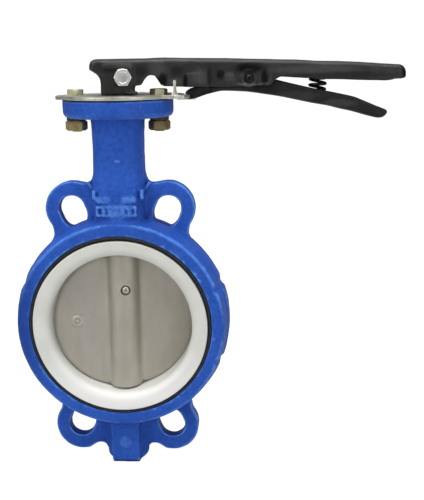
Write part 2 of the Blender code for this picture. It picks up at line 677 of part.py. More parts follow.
def build_lever():
    lever = piece(lever_blank(), "lever", BLACK_COATING, STEM_AXIS, sharp_angle=28)
    cut(lever, prism(LEVER_CHANNEL, "Y", -CHANNEL_W, CHANNEL_W), "lever_channel")
    union(lever, prism(rectangle(-13.0, 14.4, LEVER_BASE_Z, 216.0), "Y",
                       -LEVER_HUB_W, LEVER_HUB_W), "lever_hub")
    for label, side in (("front", -1), ("rear", 1)):
        y0, y1 = sorted((side * (CHANNEL_W + 0.05), side * (LEVER_W + 1.0)))
        union(lever, rod(PIVOT_BOSS_R, y0, y1, "Y", PIVOT), "pivot_boss_" + label)
    union(lever, prism(POINTER_FOOT, "Z", LEVER_BASE_Z, 196.2), "pointer_foot")
    socket = SQUARE_HALF + GAP
    cut(lever, prism(rectangle(-socket, socket, -socket, socket), "Z", 180, STEM_TOP + 0.5),
        "square_socket")
    cut(lever, rod(CLAMP_R + GAP, -40, 40, "Y", CLAMP), "clamp_hole")
    cut(lever, rod(PIVOT_R + GAP, -40, 40, "Y", PIVOT), "pivot_hole")


# ------------------------------------------------------------ clamp hardware
CLAMP_AF = 13.0
# Distances from the lever's mid plane, to the front unless noted.
CLAMP_SEAT = LEVER_HUB_W + GAP        # washer in front, nut behind
CLAMP_WASHER_END = 20.7
CLAMP_HEAD_END = 26.3
CLAMP_NUT_END = 25.8                  # to the rear
CLAMP_SHANK_END = 28.0                # to the rear


def build_clamp():
    head_start = CLAMP_WASHER_END + GAP
    bolt = piece(along_y(hex_solid(CLAMP_AF, head_start, CLAMP_HEAD_END, False), CLAMP),
                 "clamp_bolt", ZINC, STEM_AXIS)
    union(bolt, along_y(rod(CLAMP_R, -CLAMP_SHANK_END, head_start + 1, chamfer=0.6), CLAMP),
          "clamp_shank")
    piece(along_y(tube(CLAMP_R + GAP, 7.0, CLAMP_SEAT, CLAMP_WASHER_END), CLAMP),
          "clamp_washer", ZINC, STEM_AXIS)
    nut = piece(along_y(hex_solid(CLAMP_AF, -CLAMP_NUT_END, -CLAMP_SEAT, True), CLAMP),
                "clamp_nut", ZINC, STEM_AXIS)
    cut(nut, rod(CLAMP_R + GAP, 10, 40, "Y", CLAMP), "clamp_nut_bore")


# ------------------------------------------------------------- trigger pivot
PIVOT_GROOVE_R = 2.4
PIVOT_GROOVE_Y0, PIVOT_GROOVE_Y1 = 18.6, 20.1


def build_pivot():
    pin = piece(rod(PIVOT_R, -18.6, 21.3, "Y", PIVOT, chamfer=0.4),
                "trigger_pivot_pin", SHAFT_STEEL, STEM_AXIS)
    union(pin, rod(3.7, -19.7, -18.3, "Y", PIVOT, chamfer=0.4), "pivot_head")
    cut(pin, tube(PIVOT_GROOVE_R, 5.0, PIVOT_GROOVE_Y0, PIVOT_GROOVE_Y1, "Y", PIVOT),
        "pivot_groove")
    clip = split_ring(PIVOT_GROOVE_R + GAP, 5.2, 22, -PIVOT_GROOVE_Y1 + GAP,
                      -PIVOT_GROOVE_Y0 - GAP, 250.0)
    piece(along_y(clip, PIVOT), "pivot_clip", SPRING_BLACK, STEM_AXIS)


# ------------------------------------------------------------------ trigger
TRIGGER_W = 12.8
TRIGGER_CHANNEL_W = 8.8
WAIST_W = 9.6             # narrowed end that carries the tooth
# Side view of the trigger: x, z. The underside runs from the tooth outwards.
TRIGGER_UNDER = [
    (57.6, 188.6), (64.6, 189.2), (73.0, 192.0), (81.4, 194.0), (87.3, 194.9),
    (100.0, 194.5), (111.0, 193.5), (132.2, 190.3), (153.7, 185.7), (166.7, 183.0),
    (179.7, 180.6), (188.5, 178.2), (199.0, 175.8), (210.4, 172.6), (219.3, 170.2),
    (223.7, 170.0), (227.4, 171.9), (228.9, 174.6)]
# The upper side runs back to the tooth.
TRIGGER_OVER = [
    (228.2, 176.4), (225.0, 177.9), (214.6, 182.2), (205.0, 186.4), (197.0, 189.2),
    (175.2, 193.8), (153.6, 198.6), (133.9, 203.3), (122.0, 207.0), (115.0, 210.2),
    (108.5, 211.4), (101.5, 210.0), (94.0, 205.0), (84.0, 201.5), (72.0, 199.0),
    (64.0, 197.6), (60.5, 196.1), (57.6, 193.9)]
TRIGGER_SHARP_EDGE = 6    # underside edge left sharp, from x 111.0 to 132.2
# Side view of the channel cutter, open above the trigger: x, z.
TRIGGER_CHANNEL = [
    (124.0, 230.0), (124.0, 196.5), (132.2, 194.0), (153.7, 189.4), (166.7, 186.7),
    (179.7, 184.4), (199.0, 179.8), (213.0, 176.8), (219.0, 178.0), (221.0, 230.0)]
# Side view of the cutters that narrow the tooth end: x, z.
TRIGGER_WAIST = [(50.0, 180.0), (72.0, 180.0), (78.0, 188.0), (78.0, 200.0),
                 (66.0, 203.0), (50.0, 203.0)]


def trigger_blank():
    bm = prism(TRIGGER_UNDER + TRIGGER_OVER, "Y", -TRIGGER_W, TRIGGER_W)
    starts = set(range(len(TRIGGER_UNDER))) - {TRIGGER_SHARP_EDGE}
    bevel_outline(bm, starts, offset=2.6, segments=2)
    return bm


def build_trigger():
    trigger = piece(trigger_blank(), "trigger", BLACK_COATING, TRIGGER_AXIS)
    cut(trigger, prism(TRIGGER_CHANNEL, "Y", -TRIGGER_CHANNEL_W, TRIGGER_CHANNEL_W),
        "trigger_channel")
    cut(trigger, rod(PIVOT_R + GAP, -30, 30, "Y", PIVOT), "trigger_pivot_hole")
    for label, side in (("front", -1), ("rear", 1)):
        y0, y1 = sorted((side * WAIST_W, side * 20.0))
        cut(trigger, prism(TRIGGER_WAIST, "Y", y0, y1), "trigger_waist_" + label)
    cut(trigger, prism(rectangle(50, 66.3, 187.4, 190.2), "Y", -2.4, 2.4), "tooth_seat")
    piece(prism(rectangle(50.3, 66.0, 188.0, 189.85), "Y", -2.05, 2.05),
          "latch_tooth", ZINC, TRIGGER_AXIS)


# ------------------------------------------------------------------- spring
SPRING_LOW = Vector((169.2, 0, 187.9))
SPRING_HIGH = Vector((171.2, 0, 212.2))
SPRING_TURNS = 4.5
SPRING_STEPS = int(SPRING_TURNS * 10)
SPRING_R = 6.2            # to the centre of the wire
WIRE_R = 1.0
WIRE_SEGS = 5


def coil():
    up = (SPRING_HIGH - SPRING_LOW).normalized()
    side = Vector((0, 1, 0))
    out = side.cross(up)
    sections = []
    for i in range(SPRING_STEPS + 1):
        fraction = i / SPRING_STEPS
        angle = 2 * math.pi * SPRING_TURNS * fraction
        radial = out * math.cos(angle) + side * math.sin(angle)
        centre = SPRING_LOW.lerp(SPRING_HIGH, fraction) + radial * SPRING_R
        section = []
        for k in range(WIRE_SEGS):
            turn = 2 * math.pi * k / WIRE_SEGS
            section.append(centre + (radial * math.cos(turn) + up * math.sin(turn)) * WIRE_R)
        sections.append(section)
    return loft(sections)


def build_spring():
    piece(coil(), "trigger_spring", SPRING_BLACK, STEM_AXIS, sharp_angle=60)


build_body()
build_seat()
build_stem_guides()
build_notch_plate()
build_flange_bolts()
build_stem()
build_disc()
build_lever()
build_clamp()
build_pivot()
build_trigger()
build_spring()
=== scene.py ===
import json
import math

import bmesh
import bpy
import numpy as np
from mathutils import Matrix, Vector, noise

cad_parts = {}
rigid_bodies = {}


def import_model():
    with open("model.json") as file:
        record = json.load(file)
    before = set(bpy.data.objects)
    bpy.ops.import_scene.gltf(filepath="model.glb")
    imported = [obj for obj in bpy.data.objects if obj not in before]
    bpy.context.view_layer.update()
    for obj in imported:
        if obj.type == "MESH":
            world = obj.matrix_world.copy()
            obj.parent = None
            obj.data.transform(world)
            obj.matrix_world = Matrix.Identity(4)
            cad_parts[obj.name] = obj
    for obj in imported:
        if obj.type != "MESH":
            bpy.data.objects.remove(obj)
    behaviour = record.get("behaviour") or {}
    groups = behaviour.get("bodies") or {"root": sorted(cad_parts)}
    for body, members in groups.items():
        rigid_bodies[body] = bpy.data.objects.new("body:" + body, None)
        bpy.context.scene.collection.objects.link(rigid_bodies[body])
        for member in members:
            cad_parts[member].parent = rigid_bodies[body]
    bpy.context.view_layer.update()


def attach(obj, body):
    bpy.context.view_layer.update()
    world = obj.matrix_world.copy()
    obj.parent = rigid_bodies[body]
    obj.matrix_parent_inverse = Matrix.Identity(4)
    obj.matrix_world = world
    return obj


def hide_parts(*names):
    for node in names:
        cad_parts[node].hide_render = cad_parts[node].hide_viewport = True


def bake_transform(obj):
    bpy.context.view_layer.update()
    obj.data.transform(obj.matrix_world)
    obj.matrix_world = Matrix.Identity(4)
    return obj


for old in list(bpy.data.objects):
    bpy.data.objects.remove(old, do_unlink=True)

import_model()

MM = 0.001
BORE_CENTRE = 0.1285          # height of the bore centre above the origin, in metres
IDENTITY = Matrix.Identity(4)
LIFT = Matrix.Translation((0, 0, BORE_CENTRE))
REST = math.radians(10.0)
LEVER = Matrix.Rotation(REST, 4, "Z")
BODY, TURN, SQUEEZE = "body", "lever_and_disc", "trigger_latch"
COLL = bpy.context.scene.collection
FAST = "MANIFOLD"             # boolean solver for the dense castings

# ================================================= dimensions shared by several pieces, in mm
GAP = 0.3                                    # clearance between fitted pieces
BODY_HALF, SEAT_HALF = 26.2, 27.2            # half widths along Y
BORE_R, RECESS_R, RECESS_Y = 71.0, 77.7, 19.8
LUG_HALF, LUG_R, LUG_ANGLE = 5.5, 23.3, 22.8
SLOT_R, SLOT_INNER, SLOT_OUTER_TOP, SLOT_OUTER_LOW = 10.9, 100.8, 106.6, 105.2
FLANGE_Z, FLANGE_BOLT_X, FLANGE_HOLE_R = 190.0, 34.925, 5.5
BOSS_Z = -128.5                              # underside of the bottom boss
DISC_R, HUB_R, STEM_R = 61.35, 14.4, 9.46
PIN_X, PIN_Z, PIN_R = 1.6, 28.2, 3.6         # taper pin through the disc hub
PLATE_Z0, PLATE_Z1 = 190.3, 193.0            # underside and top of the notch plate
PIVOT_X, PIVOT_Z, PIVOT_HOLE_R = 108.5, 205.0, 3.3
CLAMP_X, CLAMP_Z = 4.7, 207.6
PIN_CENTRE, PIVOT_CENTRE, CLAMP_CENTRE = (PIN_X, PIN_Z), (PIVOT_X, PIVOT_Z), (CLAMP_X, CLAMP_Z)


# ======================================================================= objects and modifiers
def to_object(shape, name, matrix=IDENTITY):
    """A bmesh drawn in millimetres becomes an object in metres."""
    bmesh.ops.remove_doubles(shape, verts=shape.verts, dist=1e-5)
    bmesh.ops.recalc_face_normals(shape, faces=shape.faces)
    bmesh.ops.transform(shape, matrix=matrix @ Matrix.Scale(MM, 4), verts=shape.verts)
    mesh = bpy.data.meshes.new(name)
    shape.to_mesh(mesh)
    shape.free()
    obj = bpy.data.objects.new(name, mesh)
    COLL.objects.link(obj)
    return obj


def modify(obj, kind, **settings):
    """Adds a modifier and applies it to the mesh."""
    modifier = obj.modifiers.new(kind, kind)
    for key, value in settings.items():
        setattr(modifier, key, value)
    bpy.context.view_layer.update()
    graph = bpy.context.evaluated_depsgraph_get()
    mesh = bpy.data.meshes.new_from_object(obj.evaluated_get(graph), depsgraph=graph)
    obj.modifiers.clear()
    old_mesh = obj.data
    obj.data = mesh
    mesh.name = obj.name
    bpy.data.meshes.remove(old_mesh)
    return obj


def boolean(obj, shapes, operation, matrix, solver):
    for shape in shapes:
        other = to_object(shape, "operand", matrix)
        modify(obj, "BOOLEAN", operation=operation, solver=solver, object=other)
        bpy.data.objects.remove(other, do_unlink=True)


def cut(obj, *shapes, matrix=IDENTITY, solver="EXACT"):
    boolean(obj, shapes, "DIFFERENCE", matrix, solver)


def join(obj, *shapes, matrix=IDENTITY, solver="EXACT"):
    boolean(obj, shapes, "UNION", matrix, solver)


def voxel(obj, size):
    return modify(obj, "REMESH", mode="VOXEL", voxel_size=size * MM)


def lighten(obj, ratio):
    return modify(obj, "DECIMATE", ratio=ratio)


def bevel(obj, width, segments=2, angle=30.0):
    return modify(obj, "BEVEL", width=width * MM, segments=segments, limit_method="ANGLE",
                  angle_limit=math.radians(angle))


def shade(obj, angle):
    """Smooth shading, sharp where faces meet at more than the angle."""
    mesh = obj.data
    mesh.polygons.foreach_set("use_smooth", [True] * len(mesh.polygons))
    mesh.set_sharp_from_angle(angle=math.radians(angle))


def piece(obj, body, material, part, angle=35.0):
    obj.data.transform(LIFT)
    shade(obj, angle)
    obj.data.materials.clear()
    obj.data.materials.append(material)
    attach(obj, body)
    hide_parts(part)


# ======================================================================== outlines and solids
def arc(centre_x, centre_y, radius, start, end, count):
    """Points round a circle between two angles in degrees, both ends kept."""
    points = []
    for i in range(count + 1):
        angle = math.radians(start + (end - start) * i / count)
        points.append((centre_x + radius * math.cos(angle), centre_y + radius * math.sin(angle)))
    return points


def spline(points, parts=6):
    """Catmull-Rom through the points, ends kept."""
    out = []
    last = len(points) - 1
    for i in range(last):
        before = Vector(points[max(i - 1, 0)])
        start, end = Vector(points[i]), Vector(points[i + 1])
        after = Vector(points[min(i + 2, last)])
        for k in range(parts):
            t = k / parts
            out.append(tuple(0.5 * (2 * start + (end - before) * t
                                    + (2 * before - 5 * start + 4 * end - after) * t * t
                                    + (3 * start - before - 3 * end + after) * t ** 3)))
    out.append(tuple(points[-1]))
    return out


def on_side(side, near, far):
    """The range along Y between two distances, on the side -1 or +1."""
    return sorted((side * near, side * far))


def place(axis, across, along, height):
    return (across, height, along) if axis == "Y" else (across, along, height)


def lathe(profile, axis="Z", segs=96, closed=False, centre=(0, 0)):
    """Turns (radius, height) points about an axis; a closed profile makes a ring."""
    shape = bmesh.new()
    rings = []
    for radius, height in profile:
        ring = []
        for i in range(1 if radius < 1e-6 else segs):
            angle = 2 * math.pi * i / segs
            ring.append(shape.verts.new(place(axis, radius * math.cos(angle) + centre[0],
                                              radius * math.sin(angle) + centre[1], height)))
        rings.append(ring)
    pairs = list(zip(rings, rings[1:]))
    if closed:
        pairs.append((rings[-1], rings[0]))
    for low, high in pairs:
        for i in range(segs):
            j = (i + 1) % segs
            if len(low) == 1:
                shape.faces.new((low[0], high[i], high[j]))
            elif len(high) == 1:
                shape.faces.new((low[i], high[0], low[j]))
            else:
                shape.faces.new((low[i], high[i], high[j], low[j]))
    return shape


def prism(points, axis, low, high):
    shape = bmesh.new()
    bottom = [shape.verts.new(place(axis, *point, low)) for point in points]
    top = [shape.verts.new(place(axis, *point, high)) for point in points]
    shape.faces.new(bottom)
    shape.faces.new(list(reversed(top)))
    for i in range(len(points)):
        j = (i + 1) % len(points)
        shape.faces.new((bottom[i], top[i], top[j], bottom[j]))
    bmesh.ops.recalc_face_normals(shape, faces=shape.faces)
    return shape


def box(x0, x1, y0, y1, z0, z1):
    return prism([(x0, y0), (x1, y0), (x1, y1), (x0, y1)], "Z", z0, z1)


def rod(radius, low, high, axis="Z", centre=(0, 0), segs=64):
    return lathe([(0, low), (radius, low), (radius, high), (0, high)], axis, segs, centre=centre)


def tube(inner, outer, low, high, axis="Z", centre=(0, 0), segs=64, chamfer=0.25):
    profile = [(inner + chamfer, low), (outer - chamfer, low), (outer, low + chamfer),
               (outer, high - chamfer), (outer - chamfer, high), (inner + chamfer, high),
               (inner, high - chamfer), (inner, low + chamfer)]
    return lathe(profile, axis, segs, closed=True, centre=centre)


def split_ring(inner, outer, half_gap, low, high, direction, count=48):
    """A flat ring with a gap; half_gap and direction are in degrees."""
    start, end = direction + half_gap, direction + 360 - half_gap
    return prism(arc(0, 0, outer, start, end, count) + arc(0, 0, inner, end, start, count),
                 "Z", low, high)


def loft(sections):
    """Skins a row of equal loops of points and caps both ends."""
    shape = bmesh.new()
    loops = [[shape.verts.new(point) for point in section] for section in sections]
    count = len(loops[0])
    for low, high in zip(loops, loops[1:]):
        for i in range(count):
            j = (i + 1) % count
            shape.faces.new((low[i], low[j], high[j], high[i]))
    shape.faces.new(list(reversed(loops[0])))
    shape.faces.new(loops[-1])
    return shape


def rounded_prism(outline, half_width, radius, segments, share):
    """A prism along Y whose rims are rounded in steps; share(x, z) scales the radius."""
    count = len(outline)
    centre = [Vector(point) for point in outline]
    area = sum(centre[i - 1].x * centre[i].y - centre[i].x * centre[i - 1].y
               for i in range(count))
    sign = -1.0 if area > 0 else 1.0
    inward = []
    for i in range(count):
        before, here, after = centre[i - 1], centre[i], centre[(i + 1) % count]
        tangent = ((here - before).normalized() + (after - here).normalized()).normalized()
        inward.append(Vector((tangent.y, -tangent.x)) * sign)
    rows = []
    for k in range(segments, -1, -1):
        angle = math.pi / 2 * k / segments
        rows.append((radius * (1 - math.cos(angle)),
                     -(half_width - radius * (1 - math.sin(angle)))))
    rows += [(pull, -y) for pull, y in reversed(rows)]
    return loft([[(centre[i].x + inward[i].x * pull * share(*outline[i]), y,
                   centre[i].y + inward[i].y * pull * share(*outline[i]))
                  for i in range(count)] for pull, y in rows])


def absorb(target, *sources):
    """Adds closed shells to a bmesh; the voxel remesh makes the union."""
    for source in sources:
        bmesh.ops.recalc_face_normals(source, faces=source.faces)
        copies = {vert: target.verts.new(vert.co) for vert in source.verts}
        for face in source.faces:
            target.faces.new([copies[vert] for vert in face.verts])
        source.free()


def absorb_object(target, obj):
    """Adds an object's mesh, in metres, to a bmesh in millimetres and removes the object."""
    verts = [target.verts.new(vert.co / MM) for vert in obj.data.vertices]
    for polygon in obj.data.polygons:
        target.faces.new([verts[i] for i in polygon.vertices])
    bpy.data.objects.remove(obj, do_unlink=True)


def scale_radially(vert, factor):
    """Moves a vertex towards or away from the bore axis."""
    vert.co.x *= factor
    vert.co.z *= factor


# ============================================================================ cast surfaces
def read_vectors(mesh, key):
    values = np.empty(len(mesh.vertices) * 3, np.float32)
    mesh.vertices.foreach_get(key, values)
    return values.reshape(-1, 3).astype(np.float64)


def read_edges(mesh):
    edges = np.empty(len(mesh.edges) * 2, np.int32)
    mesh.edges.foreach_get("vertices", edges)
    return edges.reshape(-1, 2)


def write_points(mesh, points):
    mesh.vertices.foreach_set("co", points.astype(np.float32).ravel())
    mesh.update()


def edge_averager(edges, count):
    """Gives a function that averages, at each point, one value from each of its edges."""
    degree = np.maximum(np.bincount(edges.ravel(), minlength=count), 1).astype(np.float64)

    def average(to_first, to_second):
        return (np.bincount(edges[:, 0], weights=to_first, minlength=count) +
                np.bincount(edges[:, 1], weights=to_second, minlength=count)) / degree

    return average


def neighbour_mean(values, edges, average):
    """The mean of the neighbours' values; a table is averaged column by column."""
    if values.ndim > 1:
        return np.stack([neighbour_mean(column, edges, average) for column in values.T], axis=1)
    return average(values[edges[:, 1]], values[edges[:, 0]])


def relax(obj, fill_rounds, all_rounds):
    """Fills inside corners first, then rounds every edge, as a casting looks."""
    mesh = obj.data
    points, edges = read_vectors(mesh, "co"), read_edges(mesh)
    average = edge_averager(edges, len(points))
    for step in range(fill_rounds):
        delta = neighbour_mean(points, edges, average) - points
        if step % 6 == 0:
            write_points(mesh, points)
            normals = read_vectors(mesh, "normal")
        outward = np.clip((delta * normals).sum(1, keepdims=True), 0, None)
        points = points + normals * outward * 0.9
    for _ in range(all_rounds):
        delta = neighbour_mean(points, edges, average) - points
        points = points + delta * 0.5
    write_points(mesh, points)


def roughen(obj, rows, seed):
    """Moves points along their normals by smooth noise: rows are (size mm, height mm)."""
    mesh = obj.data
    points, normals = read_vectors(mesh, "co"), read_vectors(mesh, "normal")
    offset = Vector((seed * 1.37, seed * 2.11, seed * 0.73))
    amount = np.zeros(len(points))
    for size, height in rows:
        scale = 1000.0 / size
        amount += height * MM * np.array([noise.noise(Vector(point) * scale + offset)
                                          for point in points])
    write_points(mesh, points + normals * amount[:, None])


def mark_curvature(obj):
    """Stores the signed curvature of a dense mesh, per mm, so that paint can wear and take a
    painted highlight on outside edges, and take painted shade in inside corners."""
    mesh = obj.data
    points, edges = read_vectors(mesh, "co"), read_edges(mesh)
    normals = read_vectors(mesh, "normal")
    average = edge_averager(edges, len(points))
    mean = neighbour_mean(points, edges, average)
    length = np.linalg.norm(points[edges[:, 0]] - points[edges[:, 1]], axis=1)
    size = average(length, length)
    bend = -2 * ((mean - points) * normals).sum(1) / np.maximum(size, 2e-4) ** 2 * MM
    bend = np.clip(bend, -1.0, 1.0)
    for _ in range(2):
        bend = 0.4 * bend + 0.6 * neighbour_mean(bend, edges, average)
    layer = mesh.attributes.new("bend", "FLOAT", "POINT")
    layer.data.foreach_set("value", bend.astype(np.float32))
    return obj


# ================================================================================ materials
SOCKETS = {"colour": "Base Color", "roughness": "Roughness", "metallic": "Metallic",
           "normal": "Normal", "coat": "Coat Weight", "coat_roughness": "Coat Roughness",
           "sub": "Subsurface Weight", "sub_scale": "Subsurface Scale",
           "specular": "Specular IOR Level"}


class Material:
    """Builds a Principled material. Sizes, depths and places are in millimetres."""

    def __init__(self, name):
        self.data = bpy.data.materials.new(name)
        self.data.use_nodes = True
        self.tree = self.data.node_tree
        self.tree.nodes.clear()
        self.out = self.add("OutputMaterial")
        self.bsdf = self.add("BsdfPrincipled")
        self.link(self.bsdf.outputs[0], self.out.inputs[0])
        self.coord = self.add("TexCoord").outputs["Object"]

    def add(self, kind, **values):
        node = self.tree.nodes.new("ShaderNode" + kind)
        for key, value in values.items():
            setattr(node, key, value)
        return node

    def link(self, source, target):
        self.tree.links.new(source, target)

    def put(self, socket, value):
        if isinstance(value, bpy.types.NodeSocket):
            self.link(value, socket)
        else:
            socket.default_value = value

    def finish(self, **values):
        for key, value in values.items():
            self.put(self.bsdf.inputs[SOCKETS[key]], value)
        return self.data

    # ---- arithmetic and colour
    def math(self, operation, *values):
        node = self.add("Math", operation=operation)
        for socket, value in zip(node.inputs, values):
            self.put(socket, value)
        return node.outputs[0]

    def times(self, product, *factors):
        for factor in factors:
            product = self.math("MULTIPLY", product, factor)
        return product

    def remap(self, value, start=0.0, end=1.0, low=0.0, high=1.0):
        """Goes from low to high while the value goes from start to end."""
        node = self.add("MapRange")
        self.link(value, node.inputs[0])
        for socket, number in zip(node.inputs[1:5], (start, end, low, high)):
            socket.default_value = number
        return node.outputs[0]

    def ramp(self, value, start, end, low=0.0, high=1.0):
        """As remap, through a colour ramp of greys."""
        node = self.add("ValToRGB")
        for element, position, grey in zip(node.color_ramp.elements, (start, end), (low, high)):
            element.position = position
            element.color = (grey, grey, grey, 1)
        self.link(value, node.inputs["Fac"])
        return node.outputs["Color"]

    def mix(self, factor, first, second):
        node = self.add("Mix", data_type="RGBA")
        self.put(node.inputs[0], factor)
        for socket, colour in zip(node.inputs[6:8], (first, second)):
            self.put(socket, (*colour, 1) if isinstance(colour, tuple) else colour)
        return node.outputs[2]

    def tint(self, base, colour, *masks, strength=None):
        """Lays a colour over the base where all the masks are white."""
        factors = masks if strength is None else (*masks, strength)
        return self.mix(self.times(*factors), base, colour)

    # ---- patterns
    def noise(self, size, detail=4.0, roughness=0.55, vector=None):
        node = self.add("TexNoise")
        node.inputs["Scale"].default_value = 1000.0 / size
        node.inputs["Detail"].default_value = detail
        node.inputs["Roughness"].default_value = roughness
        self.link(vector or self.coord, node.inputs["Vector"])
        return node.outputs["Fac"]

    def mask(self, start, end, low=0.0, high=1.0, **pattern):
        return self.ramp(self.noise(**pattern), start, end, low, high)

    def vary(self, low, high, **pattern):
        """A value that wanders between low and high."""
        return self.remap(self.noise(**pattern), low=low, high=high)

    def cells(self, size):
        node = self.add("TexVoronoi")
        node.inputs["Scale"].default_value = 1000.0 / size
        self.link(self.coord, node.inputs["Vector"])
        return node.outputs["Distance"]

    def specks(self, size, spread):
        """White dots, one in the middle of each cell."""
        return self.ramp(self.cells(size), 0.0, spread, low=1.0, high=0.0)

    def stretch(self, scale, rotation=(0, 0, 0)):
        node = self.add("Mapping")
        node.inputs["Scale"].default_value = scale
        node.inputs["Rotation"].default_value = rotation
        self.link(self.coord, node.inputs["Vector"])
        return node.outputs[0]

    def separate(self):
        node = self.add("SeparateXYZ")
        self.link(self.coord, node.inputs[0])
        return node.outputs

    def radial(self):
        """Distance from the bore axis, as a vector for a noise: rings about that axis."""
        parts = self.separate()
        height = self.math("SUBTRACT", parts["Z"], BORE_CENTRE)
        squared = self.times(parts["X"], parts["X"])
        distance = self.math("SQRT", self.math("MULTIPLY_ADD", height, height, squared), 0.0)
        combine = self.add("CombineXYZ")
        self.link(distance, combine.inputs[0])
        return combine.outputs[0]

    # ---- masks from the shape
    def bend(self, start, full):
        """White where the stored curvature has gone from start to full; negative is hollow."""
        node = self.add("Attribute", attribute_type="GEOMETRY", attribute_name="bend")
        return self.remap(node.outputs["Fac"], start, full)

    def shelter(self, reach, closed, clear):
        """White where surroundings within reach close in; closed and clear are the openness
        at which it is white and black."""
        node = self.add("AmbientOcclusion")
        node.samples = 8
        node.inputs["Distance"].default_value = reach * MM
        return self.remap(node.outputs["AO"], closed, clear, low=1.0, high=0.0)

    def fade(self, axis, start, full):
        """White where a coordinate from the bore centre has gone from start to full."""
        lift = BORE_CENTRE if axis == "Z" else 0.0
        return self.remap(self.separate()[axis], start * MM + lift, full * MM + lift)

    def patch(self, x, z, wide, tall):
        """A soft oval on both cheeks of the lever, drawn in the lever's own frame."""
        offset = self.add("VectorMath", operation="SUBTRACT")
        self.link(self.coord, offset.inputs[0])
        offset.inputs[1].default_value = (x * MM * math.cos(REST), x * MM * math.sin(REST),
                                          z * MM + BORE_CENTRE)
        turn = self.add("VectorRotate", rotation_type="Z_AXIS")
        self.link(offset.outputs[0], turn.inputs["Vector"])
        turn.inputs["Angle"].default_value = -REST
        size = self.add("VectorMath", operation="MULTIPLY")
        self.link(turn.outputs[0], size.inputs[0])
        size.inputs[1].default_value = (1000.0 / wide, 4.0, 1000.0 / tall)
        length = self.add("VectorMath", operation="LENGTH")
        self.link(size.outputs[0], length.inputs[0])
        ragged = self.times(self.noise(size=5, detail=3), 0.5)
        edge = self.math("ADD", length.outputs["Value"], ragged)
        return self.remap(edge, start=0.75, end=1.35, low=1.0, high=0.0)

    def pointiness(self):
        return self.add("NewGeometry").outputs["Pointiness"]

    def outside_edges(self, start, end):
        return self.ramp(self.pointiness(), start, end)

    def inside_corners(self):
        return self.ramp(self.pointiness(), start=0.38, end=0.49, low=1.0, high=0.0)

    # ---- relief
    def bump(self, height, depth, strength, under=None):
        node = self.add("Bump")
        node.inputs["Strength"].default_value = strength
        node.inputs["Distance"].default_value = depth * MM
        self.link(height, node.inputs["Height"])
        if under is not None:
            self.link(under, node.inputs["Normal"])
        return node.outputs[0]

    def grain(self, depth, strength, under=None, **pattern):
        return self.bump(self.noise(**pattern), depth, strength, under)


def blue_paint():
    mat = Material("blue_paint_on_casting")
    base = mat.mix(mat.mask(start=0.36, end=0.66, size=30, detail=5),
                   (0.0220, 0.088, 0.445), (0.0290, 0.112, 0.540))
    # painted light: the set-back neck painted paler, standing in for the light it lacks
    base = mat.tint(base, (0.036, 0.134, 0.64), mat.fade("Z", start=106.0, full=126.0),
                    mat.fade("Z", start=176.0, full=172.0), strength=0.8)
    # dark and light mottling
    base = mat.tint(base, (0.0125, 0.064, 0.335), mat.mask(
        start=0.42, end=0.72, high=0.6, size=4.0, detail=5, roughness=0.62))
    base = mat.tint(base, (0.052, 0.180, 0.69), mat.mask(
        start=0.54, end=0.70, size=1.7, roughness=0.6), strength=0.40)
    # painted shade in inside corners and sheltered places
    base = mat.tint(base, (0.005, 0.023, 0.16), mat.bend(start=-0.03, full=-0.24), strength=0.75)
    base = mat.tint(base, (0.005, 0.024, 0.165),
                    mat.shelter(reach=9, closed=0.3, clear=0.9), strength=0.55)
    # outside edges lighter, partly worn paint and partly a painted highlight where they catch the
    # light; and raised faces on the front of the neck and below the bore, rubbed
    worn_and_highlit = mat.times(mat.bend(start=0.055, full=0.24),
                       mat.mask(start=0.28, end=0.58, low=0.35, size=6, roughness=0.6))
    neck_face = mat.times(mat.fade("Y", start=-21.75, full=-22.35),
                          mat.fade("Z", start=90.0, full=92.0),
                          mat.fade("Z", start=119.0, full=117.0))
    low_face = mat.times(mat.fade("Y", start=-18.9, full=-19.4),
                         mat.fade("Y", start=-20.2, full=-19.9),
                         mat.times(mat.fade("Z", start=-100.0, full=-102.0), 0.45))
    raised = mat.times(mat.math("MAXIMUM", neck_face, low_face), mat.mask(
        start=0.36, end=0.60, low=0.15, size=3.0, detail=5, roughness=0.7))
    worn_and_highlit = mat.math("MAXIMUM", worn_and_highlit, mat.times(raised, 0.75))
    base = mat.tint(base, (0.13, 0.330, 0.88), worn_and_highlit, strength=0.85)
    # painted shade on the front left of the ring, and a painted shadow along the top of the flange
    # under the plate
    base = mat.tint(base, (0.008, 0.032, 0.20), mat.fade("X", start=-62.0, full=-84.0),
                    mat.fade("Y", start=-22.0, full=-25.0), strength=0.60)
    base = mat.tint(base, (0.004, 0.014, 0.07), mat.fade("Z", start=188.2, full=189.2),
                    strength=0.85)
    # pale specks, chips on sharp edges, then painted shade in the deepest corners
    base = mat.tint(base, (0.15, 0.30, 0.72), mat.times(
        mat.specks(size=2.6, spread=0.085), mat.mask(start=0.50, end=0.60, size=16, detail=2)),
        strength=0.6)
    base = mat.tint(base, (0.22, 0.245, 0.29), mat.bend(start=0.20, full=0.38),
                    mat.mask(start=0.59, end=0.65, size=5, detail=6, roughness=0.72))
    base = mat.tint(base, (0.003, 0.012, 0.075),
                    mat.shelter(reach=3.2, closed=0.30, clear=0.80), strength=0.85)
    grain = mat.grain(depth=0.34, strength=0.70, size=2.6, detail=5, roughness=0.62)
    peel = mat.grain(depth=0.06, strength=0.5, under=grain, size=0.8, detail=2, roughness=0.5)
    pits = mat.bump(mat.ramp(mat.cells(size=4.2), start=0.0, end=0.14),
                    depth=0.12, strength=0.4, under=peel)
    return mat.finish(colour=base, roughness=mat.vary(low=0.40, high=0.56, size=9), normal=pits,
                      coat=0.03, coat_roughness=0.20, specular=0.12)


